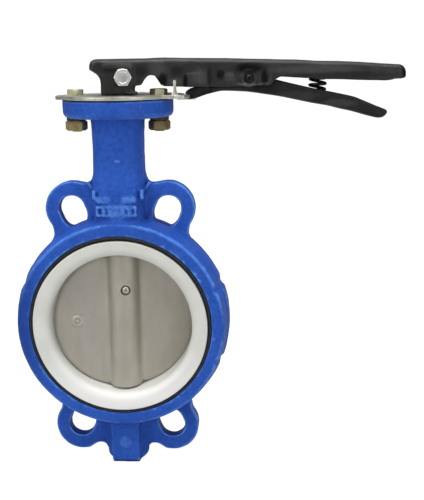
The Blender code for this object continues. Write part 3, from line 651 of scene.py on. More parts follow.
def black_coating(name, sheen, pigment, light, dark=()):
    """light and dark are soft ovals, (x, z, wide, tall, strength), of painted highlight and of
    painted shade on the coating."""
    mat = Material(name)

    def grey(value):
        return (value * pigment, value * pigment * 1.005, value * pigment * 0.995)

    base = mat.mix(mat.mask(start=0.3, end=0.7, size=24, detail=5), grey(0.010), grey(0.021))
    base = mat.tint(base, grey(0.046), mat.mask(
        start=0.50, end=0.68, size=13, roughness=0.6, vector=mat.stretch((0.8, 1.0, 1.0))),
        strength=0.45)
    # painted highlights: the light ovals lighten the coating
    for *oval, amount in light:
        base = mat.tint(base, grey(0.120), mat.patch(*oval), strength=amount)
    # painted highlight on outside edges, with some wear
    base = mat.tint(base, grey(0.075), mat.bend(start=0.09, full=0.34), strength=0.30)
    # painted shade in hollows
    base = mat.tint(base, grey(0.003), mat.bend(start=-0.05, full=-0.28), strength=0.7)
    # painted shade: sheltered places and the dark ovals darken the coating and dull its shine
    painted_shade = mat.times(mat.shelter(reach=4.5, closed=0.30, clear=0.90), 0.85)
    for *oval, amount in dark:
        painted_shade = mat.math("MAXIMUM", painted_shade, mat.times(mat.patch(*oval), amount))
    base = mat.tint(base, grey(0.0015), painted_shade)
    along_lever = mat.stretch((0.18, 1.0, 1.3), (0, 0, -REST))
    scuffs = mat.times(mat.mask(start=0.62, end=0.72, size=3.2, detail=6, roughness=0.75,
                                vector=along_lever),
                       mat.mask(start=0.5, end=0.66, size=40, detail=2))
    base = mat.tint(base, (0.10, 0.10, 0.098), scuffs, strength=0.3)
    shine = mat.times(mat.vary(low=sheen * 0.75, high=sheen * 1.2, size=9, roughness=0.6),
                      mat.math("SUBTRACT", 1.0, mat.times(painted_shade, 0.9)))
    grain = mat.grain(depth=0.28, strength=0.65, size=3.4)
    peel = mat.grain(depth=0.04, strength=0.5, under=grain, size=0.7, detail=2)
    return mat.finish(colour=base, roughness=mat.vary(low=0.36, high=0.54, size=6),
                      normal=peel, specular=shine)


def ptfe():
    mat = Material("moulded_ptfe")
    base = mat.mix(mat.mask(start=0.35, end=0.7, size=22, detail=5),
                   (0.73, 0.735, 0.69), (0.66, 0.665, 0.62))
    # painted light: paler towards the bottom of the ring, where the lip faces up into the light
    base = mat.tint(base, (0.88, 0.88, 0.855), mat.fade("Z", start=-20.0, full=-62.0))
    base = mat.tint(base, (0.60, 0.585, 0.52), mat.mask(
        start=0.60, end=0.74, size=6, detail=6, roughness=0.7), strength=0.22)
    # painted shade in inside corners
    base = mat.tint(base, (0.50, 0.49, 0.45), mat.inside_corners(), strength=0.35)
    turned = mat.grain(depth=0.020, strength=0.5, size=0.55, detail=2, roughness=0.5,
                       vector=mat.radial())
    soft = mat.grain(depth=0.35, strength=0.25, under=turned, size=9, detail=3)
    return mat.finish(colour=base, roughness=mat.vary(low=0.30, high=0.44, size=12, detail=3),
                      normal=soft, sub=0.12, sub_scale=0.004, specular=0.45)


def rubber():
    mat = Material("black_rubber")
    base = mat.mix(mat.mask(start=0.4, end=0.7, size=4),
                   (0.010, 0.010, 0.011), (0.022, 0.022, 0.023))
    return mat.finish(colour=base, roughness=mat.vary(low=0.52, high=0.72, size=3, detail=3),
                      normal=mat.grain(depth=0.04, strength=0.6, size=0.8, detail=3))


def cast_stainless():
    mat = Material("blasted_stainless_casting")
    base = mat.mix(mat.mask(start=0.3, end=0.7, size=30, detail=5, roughness=0.6),
                   (0.455, 0.428, 0.372), (0.525, 0.500, 0.442))
    base = mat.tint(base, (0.390, 0.358, 0.300), mat.mask(
        start=0.45, end=0.8, high=0.55, size=9, detail=5, roughness=0.65,
        vector=mat.stretch((1.0, 1.0, 0.30))))
    # painted shade in inside corners
    base = mat.tint(base, (0.20, 0.185, 0.155), mat.bend(start=-0.03, full=-0.22), strength=0.6)
    # painted highlight on outside edges
    base = mat.tint(base, (0.66, 0.64, 0.59), mat.bend(start=0.10, full=0.36), strength=0.3)
    base = mat.tint(base, (0.26, 0.24, 0.20), mat.specks(size=1.6, spread=0.10), strength=0.22)
    blast = mat.grain(depth=0.045, strength=0.75, size=0.65, detail=3, roughness=0.6)
    return mat.finish(colour=base, metallic=0.88, roughness=mat.vary(low=0.46, high=0.60, size=5),
                      normal=mat.grain(depth=0.20, strength=0.35, under=blast, size=7))


def plated(name, light, dark, spot, rough, brushed=None, dirty=0.5, metal=1.0):
    """light and dark mottle, spot is the dirt and, darkened, the painted shade in inside corners;
    rough is a range, brushed stretches the grain.
    """
    mat = Material(name)
    base = mat.mix(mat.mask(start=0.35, end=0.7, size=7, detail=5, roughness=0.6), light, dark)
    base = mat.tint(base, spot, mat.mask(
        start=0.58, end=0.72, size=3.0, detail=6, roughness=0.72), strength=dirty)
    # painted shade in inside corners
    base = mat.tint(base, tuple(level * 0.35 for level in spot), mat.inside_corners(),
                    strength=0.65)
    # painted highlight on outside edges
    base = mat.tint(base, tuple(min(1.0, level * 1.3) for level in light),
                    mat.outside_edges(start=0.52, end=0.62), strength=0.6)
    vector = mat.stretch(brushed) if brushed else None
    scratch = mat.grain(depth=0.018, strength=0.6, size=0.8, detail=3, roughness=0.6,
                        vector=vector)
    ripple = mat.grain(depth=0.10, strength=0.3, under=scratch, size=5, detail=3)
    return mat.finish(colour=base, metallic=metal, normal=ripple,
                      roughness=mat.vary(*rough, size=4, roughness=0.6, vector=vector))


def turned_steel(name, tone, about_bore=False):
    """Turning lines lie across Z, or in rings about the bore axis."""
    mat = Material(name)
    lines = mat.radial() if about_bore else mat.stretch((0.05, 0.05, 1.0))
    base = mat.mix(mat.mask(start=0.3, end=0.7, size=12), tone,
                   tuple(level * 0.78 for level in tone))
    # painted highlight on outside edges
    base = mat.tint(base, tuple(min(1.0, level * 1.3) for level in tone),
                    mat.outside_edges(start=0.54, end=0.66), strength=0.3)
    return mat.finish(colour=base, metallic=1.0, roughness=mat.vary(low=0.24, high=0.38, size=3),
                      normal=mat.grain(depth=0.02, strength=0.5, size=0.5, detail=2,
                                       roughness=0.5, vector=lines))


def polymer():
    mat = Material("bearing_polymer")
    base = mat.mix(mat.specks(size=0.9, spread=0.5), (0.070, 0.070, 0.076), (0.13, 0.13, 0.14))
    return mat.finish(colour=base, roughness=mat.vary(low=0.42, high=0.58, size=3, detail=3),
                      normal=mat.grain(depth=0.03, strength=0.5, size=1.0, detail=3))


def black_wire():
    mat = Material("black_oxide_wire")
    base = mat.mix(mat.mask(start=0.4, end=0.7, size=2.5),
                   (0.022, 0.022, 0.024), (0.06, 0.058, 0.055))
    return mat.finish(colour=base, metallic=0.75,
                      roughness=mat.vary(low=0.28, high=0.45, size=2, detail=3),
                      normal=mat.grain(depth=0.02, strength=0.5, size=0.5, detail=2))


# Soft ovals of painted highlight and painted shade on the trigger and lever: x, z, width, height,
# strength
TRIGGER_PAINTED_HIGHLIGHTS = [(92.0, 197.0, 22.0, 3.0, 0.25), (150.0, 190.5, 26.0, 4.5, 0.18),
                 (186.0, 183.5, 18.0, 3.5, 0.30)]
LEVER_PAINTED_HIGHLIGHTS = [
    (6.0, 209.0, 9.0, 12.0, 0.20), (33.5, 213.0, 8.0, 9.0, 0.30), (67.0, 207.0, 10.0, 7.0, 0.26),
    (62.0, 209.8, 8.0, 1.4, 0.30), (92.0, 207.0, 6.5, 5.0, 0.20), (92.5, 208.4, 5.0, 2.0, 0.28),
    (47.0, 203.0, 7.0, 4.0, 0.35), (160.0, 211.5, 46.0, 4.0, 0.30),
    (107.6, 200.2, 7.5, 2.0, 1.0)]
LEVER_PAINTED_SHADE = [
    (37.0, 205.0, 4.5, 7.0, 0.85), (55.8, 203.5, 2.2, 7.5, 0.85), (109.0, 213.0, 15.0, 5.0, 0.85),
    (121.5, 206.5, 3.5, 9.0, 0.8), (85.0, 208.5, 4.0, 5.0, 0.75), (75.5, 207.0, 2.6, 9.0, 0.6),
    (49.5, 212.0, 7.0, 5.0, 0.4), (20.0, 212.0, 6.0, 5.0, 0.4), (241.5, 209.0, 4.0, 9.0, 0.85),
    (-2.0, 214.5, 16.0, 3.5, 0.5), (190.0, 206.5, 60.0, 3.5, 0.35)]

BLUE = blue_paint()
BLACK = black_coating("black_satin_coating", sheen=0.22, pigment=0.65, light=TRIGGER_PAINTED_HIGHLIGHTS)
# scuffed coating with painted highlights and painted shade on the lever
LEVER_BLACK = black_coating("black_satin_coating_worn_with_painted_light", sheen=0.42, pigment=0.80,
                            light=LEVER_PAINTED_HIGHLIGHTS, dark=LEVER_PAINTED_SHADE)
PTFE = ptfe()
EPDM = rubber()
STAINLESS = cast_stainless()
ZINC = plated("bright_zinc", light=(0.66, 0.65, 0.62), dark=(0.56, 0.55, 0.53),
              spot=(0.36, 0.35, 0.33), rough=(0.24, 0.42))
PLATE = plated("zinc_plate_sheet", light=(0.70, 0.695, 0.61), dark=(0.42, 0.41, 0.35),
               spot=(0.075, 0.07, 0.056), rough=(0.34, 0.54), brushed=(0.30, 1.0, 1.0), dirty=0.9)
YELLOW = plated("pale_yellow_zinc", light=(0.57, 0.55, 0.385), dark=(0.44, 0.42, 0.275),
                spot=(0.30, 0.27, 0.15), rough=(0.44, 0.60))
BRONZE = plated("dark_yellow_zinc", light=(0.50, 0.40, 0.18), dark=(0.25, 0.19, 0.080),
                spot=(0.075, 0.054, 0.025), rough=(0.36, 0.54), dirty=0.8, metal=0.7)
# painted shade: a darker copy of the nut colour, for the right nut
SHADED_BRONZE = plated("yellow_zinc_painted_shade", light=(0.34, 0.255, 0.125), dark=(0.155, 0.115, 0.052),
               spot=(0.045, 0.033, 0.018), rough=(0.36, 0.54), dirty=0.8, metal=0.7)
# much darker copy of the yellow zinc, on the spring washers under the flange
DARK_BRONZE = plated("darkest_yellow_zinc", light=(0.09, 0.068, 0.036), dark=(0.045, 0.034, 0.018),
                     spot=(0.018, 0.014, 0.009), rough=(0.40, 0.6), metal=0.6)
BRIGHT = plated("bright_zinc_bolt", light=(0.86, 0.855, 0.83), dark=(0.74, 0.735, 0.71),
                spot=(0.50, 0.49, 0.47), rough=(0.30, 0.48))
SHAFT = turned_steel("turned_steel", tone=(0.56, 0.55, 0.53))
PIN = turned_steel("pin_steel", tone=(0.60, 0.57, 0.52), about_bore=True)
PIVOT_STEEL = turned_steel("pivot_pin_steel", tone=(0.035, 0.034, 0.033), about_bore=True)
BUSH = polymer()
WIRE = black_wire()

# =============================================================================== valve body
RING_FACE_R, RING_MID_R, RING_MID_HALF, RING_INSIDE_R = 88.4, 92.0, 7, 60
RING_EDGE = 1.3                              # chamfer at the ring's two faces
PAD_R, PAD_HALF, PAD_ANGLE = 92.1, 11.0, 18.5
FLANGE_R, FLANGE_SHIFT = 46.0, 0.8
FLANGE_UNDER = FLANGE_Z - 14.9
BOSS_R, BOSS_PAD_Y = 18.3, 18.7
BURIED_Y = -15                               # back of the features raised on the front
SLOT_DIRECTION = math.radians(90 - LUG_ANGLE)
# Small hollows in the ring beside the side pads: angle in degrees, depth
RING_DIPS = [(21.2, 2.1), (-21.2, 1.9), (157.5, 1.5)]
# Neck stations: height, half width along X, half width along Y, squareness
NECK = [(60, 21.3, 21.3, 4.2), (116, 21.3, 21.3, 4.2), (122, 21.9, 20.9, 3.2),
        (131, 21.7, 20.6, 2.7), (147, 21.4, 20.6, 2.5), (160, 21.8, 20.9, 2.4),
        (168, 22.2, 21.4, 2.3), (175.5, 22.5, 21.7, 2.3), (180, 22.8, 22.0, 2.3)]


def lug_outline():
    """The plate of the four lugs, from the right half, as (x, z)."""
    upper = spline([(66.5, 60.9), (62.5, 66.5), (59.2, 71.5), (57.7, 75.5), (58.0, 79.5)], 3)
    upper += arc(40.64, 98.1, LUG_R, -38, 106, 36)
    upper += spline([(31.0, 119.9), (27.6, 119.6), (24.8, 120.8), (22.8, 124.5), (21.0, 131.0)], 3)
    lower = spline([(66.5, -60.9), (63.0, -65.5), (59.4, -70.0), (57.6, -73.5), (57.9, -78.0)], 3)
    lower += arc(40.5, -97.3, LUG_R, 38, -106, 36)
    lower += spline([(31.2, -117.6), (26.5, -115.2), (22.5, -115.0), (19.6, -117.0),
                     (17.5, -121.0)], 3)
    right = list(reversed(upper)) + lower
    return right + [(-x, z) for x, z in reversed(lower)] + [(-x, z) for x, z in upper]


def slot(sign_x, sign_z, outer):
    """A round-ended slot pointing away from the bore centre."""
    outward = Vector((math.cos(SLOT_DIRECTION) * sign_x, math.sin(SLOT_DIRECTION) * sign_z))
    across = Vector((-outward.y, outward.x))
    points = []
    for distance, side in ((outer, 1), (SLOT_INNER, -1)):
        for i in range(25):
            angle = math.pi * i / 24
            points.append(outward * distance + across * (side * SLOT_R * math.cos(angle))
                          + outward * (side * SLOT_R * math.sin(angle)))
    return prism([(point.x, point.y) for point in points], "Y", -20, 20)


def neck_loop(z, half_x, half_y, power, segs=80):
    points = []
    for i in range(segs):
        angle = 2 * math.pi * i / segs
        along_x, along_y = math.cos(angle), math.sin(angle)
        points.append((half_x * math.copysign(abs(along_x) ** (2 / power), along_x),
                       half_y * math.copysign(abs(along_y) ** (2 / power), along_y), z))
    return points


def neck():
    rows = []
    for lower, upper in zip(NECK, NECK[1:]):
        for k in range(3):
            t = k / 3
            rows.append(tuple(start + (end - start) * t for start, end in zip(lower, upper)))
    rows.append(NECK[-1])
    return loft([neck_loop(*row) for row in rows])


def body_ring():
    half, edge = BODY_HALF, RING_EDGE
    shape = lathe([(RING_INSIDE_R, -half), (RING_FACE_R - edge, -half),
                   (RING_FACE_R + 0.1, -half + edge), (RING_MID_R, -RING_MID_HALF),
                   (RING_MID_R, RING_MID_HALF), (RING_FACE_R + 0.1, half - edge),
                   (RING_FACE_R - edge, half), (RING_INSIDE_R, half)], "Y", 288, closed=True)
    for vert in shape.verts:
        radius = math.hypot(vert.co.x, vert.co.z)
        if radius > 85:
            angle = math.degrees(math.atan2(vert.co.z, vert.co.x))
            depth = sum(deep * math.exp(-((angle - middle) / 1.9) ** 2)
                        for middle, deep in RING_DIPS)
            scale_radially(vert, 1 - depth / radius)
    return shape


def side_pad(direction):
    start, end = direction - PAD_ANGLE, direction + PAD_ANGLE
    outline = arc(0, 0, PAD_R, start, end, 24) + arc(0, 0, 80.0, end, start, 24)
    return prism(outline, "Y", -PAD_HALF, PAD_HALF)


def top_flange():
    return lathe([(0, FLANGE_Z - 20), (20, FLANGE_UNDER), (FLANGE_R - 3.9, FLANGE_UNDER),
                  (FLANGE_R - 1.7, FLANGE_UNDER + 0.9), (FLANGE_R - 0.5, FLANGE_UNDER + 2.6),
                  (FLANGE_R, FLANGE_UNDER + 4.6), (FLANGE_R, FLANGE_Z), (0, FLANGE_Z)],
                 "Z", 128, centre=(FLANGE_SHIFT, 0))


def bottom_boss():
    """A round boss and the block that widens it along Y."""
    boss = lathe([(0, BOSS_Z), (13.5, BOSS_Z), (15.3, BOSS_Z + 0.7), (BOSS_R - 0.5, BOSS_Z + 3.4),
                  (BOSS_R, BOSS_Z + 5.0), (BOSS_R, -60), (0, -60)], "Z", 96)
    block = [(-BOSS_PAD_Y, -60), (BOSS_PAD_Y, -60), (BOSS_PAD_Y, BOSS_Z + 3.5), (15.5, BOSS_Z),
             (-15.5, BOSS_Z), (-BOSS_PAD_Y, BOSS_Z + 3.5)]
    return boss, loft([[(x, y, z) for y, z in block] for x in (-12.0, 12.0)])


def pill(x0, x1, z0, z1):
    radius = (z1 - z0) / 2
    return (arc(x1 - radius, z0 + radius, radius, -90, 90, 8)
            + arc(x0 + radius, z0 + radius, radius, 90, 270, 8))


def front_features(shape):
    """Blocks, pills, a frame and a row of lugs, all low, on the front of the neck."""
    for x in (-18.9, 21.2):
        absorb(shape, box(x - 1.5, x + 1.5, -22.9, BURIED_Y, 108.4, 116.2))
    for x0, x1 in ((-17.6, -5.2), (4.0, 16.8)):
        bar = to_object(prism(pill(x0, x1, 105.3, 110.5), "Y", -22.6, BURIED_Y), "bar")
        cut(bar, prism(pill(x0 + 1.8, x1 - 1.8, 107.0, 108.8), "Y", -30, -21.5))
        absorb_object(shape, bar)
    for x0, x1, z0, z1 in ((-17.6, -15.8, 93.6, 102.8), (14.8, 16.6, 93.6, 102.8),
                           (-17.6, 16.6, 101.0, 102.8), (-17.6, 16.6, 93.6, 95.2)):
        absorb(shape, box(x0, x1, -22.7, BURIED_Y, z0, z1))
    for k in range(5):
        x = -11.2 + k * 5.4
        absorb(shape, box(x - 1.3, x + 1.3, -22.5, BURIED_Y, 96.6, 99.8))
    # where the plate of the lugs runs up to the neck
    for side in (-1, 1):
        absorb(shape, prism([(side * 27.2, 120.6), (side * 25.6, 121.6), (side * 19.0, 112.2),
                             (side * 20.8, 111.4)], "Y", -8.2, -3.0))
    # a button below the bore and a small block high on the neck
    absorb(shape, rod(4.4, -19.7, BURIED_Y, "Y", (0, -108.5), 48),
           box(-0.2, 3.6, -21.6, BURIED_Y, 138.8, 140.8))


def make_body():
    web = to_object(prism(lug_outline(), "Y", -LUG_HALF, LUG_HALF), "web")
    cut(web, *[slot(sign_x, sign_z, outer)
               for sign_z, outer in ((1, SLOT_OUTER_TOP), (-1, SLOT_OUTER_LOW))
               for sign_x in (-1, 1)])
    shape = bmesh.new()
    absorb_object(shape, web)
    absorb(shape, body_ring(), side_pad(0), side_pad(180), neck(), top_flange(), *bottom_boss())
    front_features(shape)
    obj = to_object(shape, "valve_body_casting")
    voxel(obj, 0.85)
    relax(obj, fill_rounds=15, all_rounds=3)
    roughen(obj, [(13, 0.20), (5.5, 0.12), (2.4, 0.05)], seed=3)
    edge = 0.5                               # chamfer at the mouths of the seat recess
    bore = lathe([(0, -60), (RECESS_R + edge, -60), (RECESS_R + edge, -BODY_HALF),
                  (RECESS_R, -BODY_HALF + edge), (RECESS_R, -RECESS_Y), (BORE_R, -RECESS_Y),
                  (BORE_R, RECESS_Y), (RECESS_R, RECESS_Y), (RECESS_R, BODY_HALF - edge),
                  (RECESS_R + edge, BODY_HALF), (RECESS_R + edge, 60), (0, 60)], "Y", 192)
    stem_hole = lathe([(0, -122), (12, -122), (12, 186), (15, 186), (15, 200), (0, 200)], "Z", 64)
    bolt_holes = [rod(FLANGE_HOLE_R, 165, 200, centre=(x, 0), segs=40)
                  for x in (-FLANGE_BOLT_X, FLANGE_BOLT_X)]
    cut(obj, bore, stem_hole, *bolt_holes, solver=FAST)
    if len(obj.data.polygons) > 90000:
        lighten(obj, 0.5)
    return obj


def paint_slot_shade(obj):
    """Gives the walls of the lug slots the value of inside corners, so the paint lays painted shade
    on them.
    """
    layer = obj.data.attributes["bend"]
    points = read_vectors(obj.data, "co")
    bend = np.empty(len(points), np.float32)
    layer.data.foreach_get("value", bend)
    x, y, z = np.abs(points[:, 0]) / MM, points[:, 1] / MM, points[:, 2] / MM
    cosine, sine = math.cos(SLOT_DIRECTION), math.sin(SLOT_DIRECTION)
    along = x * cosine + np.abs(z) * sine
    across = x * sine - np.abs(z) * cosine
    outer = np.where(z > 0, SLOT_OUTER_TOP, SLOT_OUTER_LOW)
    distance = np.hypot(along - np.clip(along, SLOT_INNER, outer), across)
    bend[(distance < SLOT_R + 0.5) & (np.abs(y) < LUG_HALF - 0.8)] = -0.24
    layer.data.foreach_set("value", bend)
    return obj


piece(paint_slot_shade(mark_curvature(make_body())), BODY, BLUE, "valve_body", 50)

# ===================================================================================== seat
# Half profiles, (radius, distance from the middle plane)
LIP = [(66.0, 22.9), (74.9, 22.9), (74.9, 26.4)]
LIP += arc(74.1, 26.4, 0.8, 0, 90, 4)
LIP += spline([(74.1, SEAT_HALF), (71.2, SEAT_HALF), (68.4, 27.15), (66.0, 26.85), (63.8, 26.0),
               (62.1, 24.6), (61.15, 22.7), (60.9, 20.6), (61.0, 17.5), (61.35, 14.8),
               (61.65, 12.0)], 4)
BACKING_R = RECESS_R - GAP
BACKING = [(BORE_R - GAP, 20.1), (BACKING_R, 20.1), (BACKING_R, 26.1), (BACKING_R - 0.3, 26.45),
           (BACKING_R - 0.8, 26.5), (76.5, 26.2), (75.7, 25.5), (75.2, 25.0), (75.2, 22.6),
           (66.3, 22.6)]


def mirrored_ring(half_profile):
    profile = [(radius, -y) for radius, y in half_profile]
    profile += [(radius, y) for radius, y in reversed(half_profile)]
    return lathe(profile, "Y", 192, closed=True)


def lower_front_lip(shape):
    """The front lip sits a little low in its groove, so more of the backing shows above it."""
    for vert in shape.verts:
        radius = math.hypot(vert.co.x, vert.co.z)
        if vert.co.y < -22 and radius > 73.5:
            angle = math.atan2(vert.co.z, vert.co.x) - math.radians(66)
            scale_radially(vert, 1 - 1.25 * max(0.0, math.cos(angle)) / radius)
    return shape


def seat_piece(shape, name, material, part):
    obj = to_object(shape, name)
    cut(obj, rod(STEM_R + GAP, -90, 90))
    piece(obj, BODY, material, part, 40)


seat_piece(lower_front_lip(mirrored_ring(LIP)), "seat_liner_ptfe", PTFE, "seat_liner")
seat_piece(mirrored_ring(BACKING), "seat_backing_rubber", EPDM, "seat_backing")

# ===================================================================================== disc
DISC_HALF = 3.6
MARK_CENTRE = (-40.8, 0.2)                   # ring-shaped mark, front face, left of the hub


def make_disc():
    half = DISC_HALF
    rim = [(56.0, -half), (58.6, -half + 0.15), (60.4, -half + 0.9)]
    rim += [(math.sqrt(DISC_R ** 2 - y * y), y) for y in (-2.0, -1.0, 0.0, 1.0, 2.0)]
    rim += [(60.4, half - 0.9), (58.6, half - 0.15), (56.0, half)]
    hub = rod(HUB_R, -59.4, 59.4, segs=128)
    for vert in hub.verts:
        if vert.co.length > DISC_R - 0.25:
            vert.co *= (DISC_R - 0.3) / vert.co.length
    shape = bmesh.new()
    absorb(shape, lathe([(0, -half - 0.5), (30, -half - 0.4)] + rim
                        + [(30, half + 0.4), (0, half + 0.5)], "Y", 192), hub)
    # flanks that run the hub out into the disc
    flank = [(10.5, -8.4), (15.0, -4.9), (21.5, -3.3), (21.5, 3.3), (15.0, 4.9), (10.5, 8.4)]
    for side in (-1, 1):
        absorb(shape, loft([[(side * x, y, z) for x, y in flank] for z in (-56, 56)]))
    absorb(shape, tube(3.0, 4.6, -half - 1.5, -half + 1.0, "Y", MARK_CENTRE, 48, 0.2),
           rod(1.5, -half - 1.4, -half + 1.0, "Y", MARK_CENTRE, 32))
    obj = to_object(shape, "disc_casting", LEVER)
    voxel(obj, 0.55)
    relax(obj, fill_rounds=20, all_rounds=3)
    roughen(obj, [(16, 0.09), (4, 0.05)], seed=11)
    cut(obj, rod(STEM_R + GAP, -90, 90), solver=FAST)
    flares = [lathe([(0, side * 10.0), (PIN_R + GAP - 0.1, side * 12.6),
                     (PIN_R + 1.5, side * 14.6), (PIN_R + 1.5, side * 16.0), (0, side * 16.0)],
                    "Y", 48, centre=PIN_CENTRE) for side in (-1, 1)]
    cut(obj, rod(PIN_R + GAP, -30, 30, "Y", PIN_CENTRE, 48), *flares, matrix=LEVER, solver=FAST)
    return lighten(obj, 0.4)


def make_taper_pin():
    profile = [(0, -HUB_R + 0.15), (PIN_R - 1.9, -HUB_R + 0.2), (PIN_R - 0.8, -HUB_R + 0.7),
               (PIN_R - 0.15, -HUB_R + 1.7), (PIN_R - 0.1, -HUB_R + 2.6),
               (PIN_R - 0.25, HUB_R - 1.0), (PIN_R - 0.9, HUB_R - 0.3), (0, HUB_R - 0.2)]
    dimple = [(0, -HUB_R + 1.5), (0.7, -HUB_R + 1.0), (1.25, -HUB_R - 0.2), (1.25, -HUB_R - 2),
              (0, -HUB_R - 2)]
    obj = to_object(lathe(profile, "Y", 48, centre=PIN_CENTRE), "disc_taper_pin_turned", LEVER)
    cut(obj, lathe(dimple, "Y", 32, centre=PIN_CENTRE), matrix=LEVER)
    return obj


piece(mark_curvature(make_disc()), TURN, STAINLESS, "disc", 45)
piece(make_taper_pin(), TURN, PIN, "disc_taper_pin")

# ==================================================================== stem and its hardware
SQUARE_HALF = 7.0                            # half the width of the square on top of the stem
STEM_GROOVE_R, STEM_TOP = 8.7, 193.6
SEAL_R = 12.0                                # outer radius of the O-ring space
# Bushes: part, bottom, top
BUSHES = [("stem_bush_upper", 168.0, 185.7), ("stem_bush_middle", 80.0, 104.0),
          ("stem_bush_lower", -116.0, -80.0)]
THRUST_R, THRUST_Z0, THRUST_Z1, THRUST_EDGE = 11.4, -121.7, -119.2, 0.4
CIRCLIP_Z0, CIRCLIP_Z1, CIRCLIP_DIRECTION = 187.7, 188.7, 250.0


def make_stem():
    half = SQUARE_HALF
    edge = math.sqrt((STEM_R - 0.05) ** 2 - half ** 2)
    obj = to_object(lathe([(0, -118.9), (STEM_R - 0.8, -118.9), (STEM_R, -118.1), (STEM_R, 187.4),
                           (STEM_GROOVE_R, 187.4), (STEM_GROOVE_R, 189.0), (STEM_R, 189.0),
                           (STEM_R, 193.2), (STEM_R - 0.4, STEM_TOP), (0, STEM_TOP)], "Z", 96),
                    "stem_turned", LEVER)
    join(obj, prism([(half, -edge), (half, edge), (edge, half), (-edge, half), (-half, edge),
                     (-half, -edge), (-edge, -half), (edge, -half)], "Z", 191.0, 211.0),
         matrix=LEVER)
    cut(obj, rod(4.6, -30, 30, "Y", CLAMP_CENTRE, 48),
        rod(PIN_R + GAP, -30, 30, "Y", PIN_CENTRE, 48), matrix=LEVER)
    return obj


def make_oring(name, height):
    middle, radius = (STEM_R + SEAL_R) / 2, (SEAL_R - STEM_R) / 2 - GAP
    section = [(middle + radius * math.cos(math.pi * i / 8),
                height + radius * math.sin(math.pi * i / 8)) for i in range(16)]
    return to_object(lathe(section, "Z", 96, closed=True), name)


def make_circlip():
    """A snap ring whose ends are eyes for the pliers."""
    obj = to_object(split_ring(9.0, 12.2, 14, CIRCLIP_Z0, CIRCLIP_Z1, CIRCLIP_DIRECTION),
                    "stem_circlip_ring", LEVER)
    for side in (-1, 1):
        angle = math.radians(CIRCLIP_DIRECTION + side * 17.0)
        eye = (11.6 * math.cos(angle), 11.6 * math.sin(angle))
        join(obj, rod(2.0, CIRCLIP_Z0, CIRCLIP_Z1, centre=eye, segs=32), matrix=LEVER)
        cut(obj, rod(0.85, 187, 189.5, centre=eye, segs=24), matrix=LEVER)
    return bevel(obj, 0.1, 1)


piece(make_stem(), TURN, SHAFT, "stem", 30)
for part, low, high in BUSHES:
    piece(to_object(tube(STEM_R + GAP, 11.7, low, high, chamfer=0.5), part + "_sleeve"),
          BODY, BUSH, part)
for part, height in (("stem_oring_upper", 165.0), ("stem_oring_lower", 107.0)):
    piece(make_oring(part + "_ring", height), BODY, EPDM, part, 60)
thrust = lathe([(0, THRUST_Z0), (THRUST_R - THRUST_EDGE, THRUST_Z0),
                (THRUST_R, THRUST_Z0 + THRUST_EDGE), (THRUST_R, THRUST_Z1 - THRUST_EDGE),
                (THRUST_R - THRUST_EDGE, THRUST_Z1), (0, THRUST_Z1)], "Z", 64)
piece(to_object(thrust, "thrust_washer_disc"), BODY, BUSH, "thrust_washer")
piece(to_object(tube(STEM_R + GAP, 14.6, 186.3, 187.1, chamfer=0.12), "retaining_washer_ring"),
      BODY, ZINC, "retaining_washer")
piece(make_circlip(), TURN, WIRE, "stem_circlip")

# ============================================================================== notch plate
PLATE_R, SECTOR_R, NOTCH_ROOT_R, NOTCH_WIDTH = 46.5, 56.5, 49.2, 5.0
NOTCH_COUNT, NOTCH_PITCH = 10, 10.0          # pitch in degrees


def plate_outline():
    points = []

    def rim(radius, start, end):
        points.extend(arc(0, 0, radius, start, end, max(1, round((end - start) / 2.0))))

    rim(55.0, -27, -25)
    rim(63.4, -23.5, -13.2)
    points.extend(arc(0, 0, SECTOR_R, -11, -8, 1)[:1])
    top = math.degrees(math.asin(NOTCH_WIDTH / 2 / SECTOR_R))
    root = math.degrees(math.asin(NOTCH_WIDTH / 2 / NOTCH_ROOT_R))
    for k in range(NOTCH_COUNT):
        angle = NOTCH_PITCH * k
        points.extend(arc(0, 0, SECTOR_R, angle - NOTCH_PITCH + top if k else -8, angle - top, 4))
        points.extend(arc(0, 0, NOTCH_ROOT_R, angle - root, angle + root, 4))
    points.extend(arc(0, 0, SECTOR_R, 90 + top, 98, 4))
    rim(55.2, 100, 112)
    rim(PLATE_R, 118, 163)
    rim(50.6, 170, 202)
    rim(PLATE_R, 209, 329)
    return points


def tab(y0, y1, top):
    """A sheared and bent-up stop, narrower above its root and rounded on top."""
    x0, x1, bottom, root = 47.8, 52.8, PLATE_Z0 + 0.4, 194.2
    outline = [(x0, bottom), (x1, bottom), (x1, root)]
    outline += spline([(x1, root), (x1 - 0.8, root + 1.0), (x1 - 1.4, root + 3.0)], 3)[1:]
    outline += arc(x1 - 2.4, top - 1.0, 1.0, 0, 90, 5) + arc(x0 + 2.4, top - 1.0, 1.0, 90, 180, 5)
    outline += spline([(x0 + 1.4, root + 3.0), (x0 + 0.8, root + 1.0), (x0, root)], 3)
    return prism(outline, "Y", y0, y1)


def make_plate():
    obj = to_object(prism(plate_outline(), "Z", PLATE_Z0, PLATE_Z1), "notch_plate_sheet")
    join(obj, tab(-20.4, -17.6, 205.0))
    join(obj, tab(17.6, 20.4, 203.0), matrix=Matrix.Rotation(math.pi / 2, 4, "Z"))
    cut(obj, rod(STEM_R + 0.8, 180, 200, segs=96),
        *[rod(FLANGE_HOLE_R, 180, 200, centre=(x, 0), segs=48)
          for x in (-FLANGE_BOLT_X, FLANGE_BOLT_X)])
    return bevel(obj, 0.32, 2, 40)


piece(make_plate(), BODY, PLATE, "notch_plate", 40)


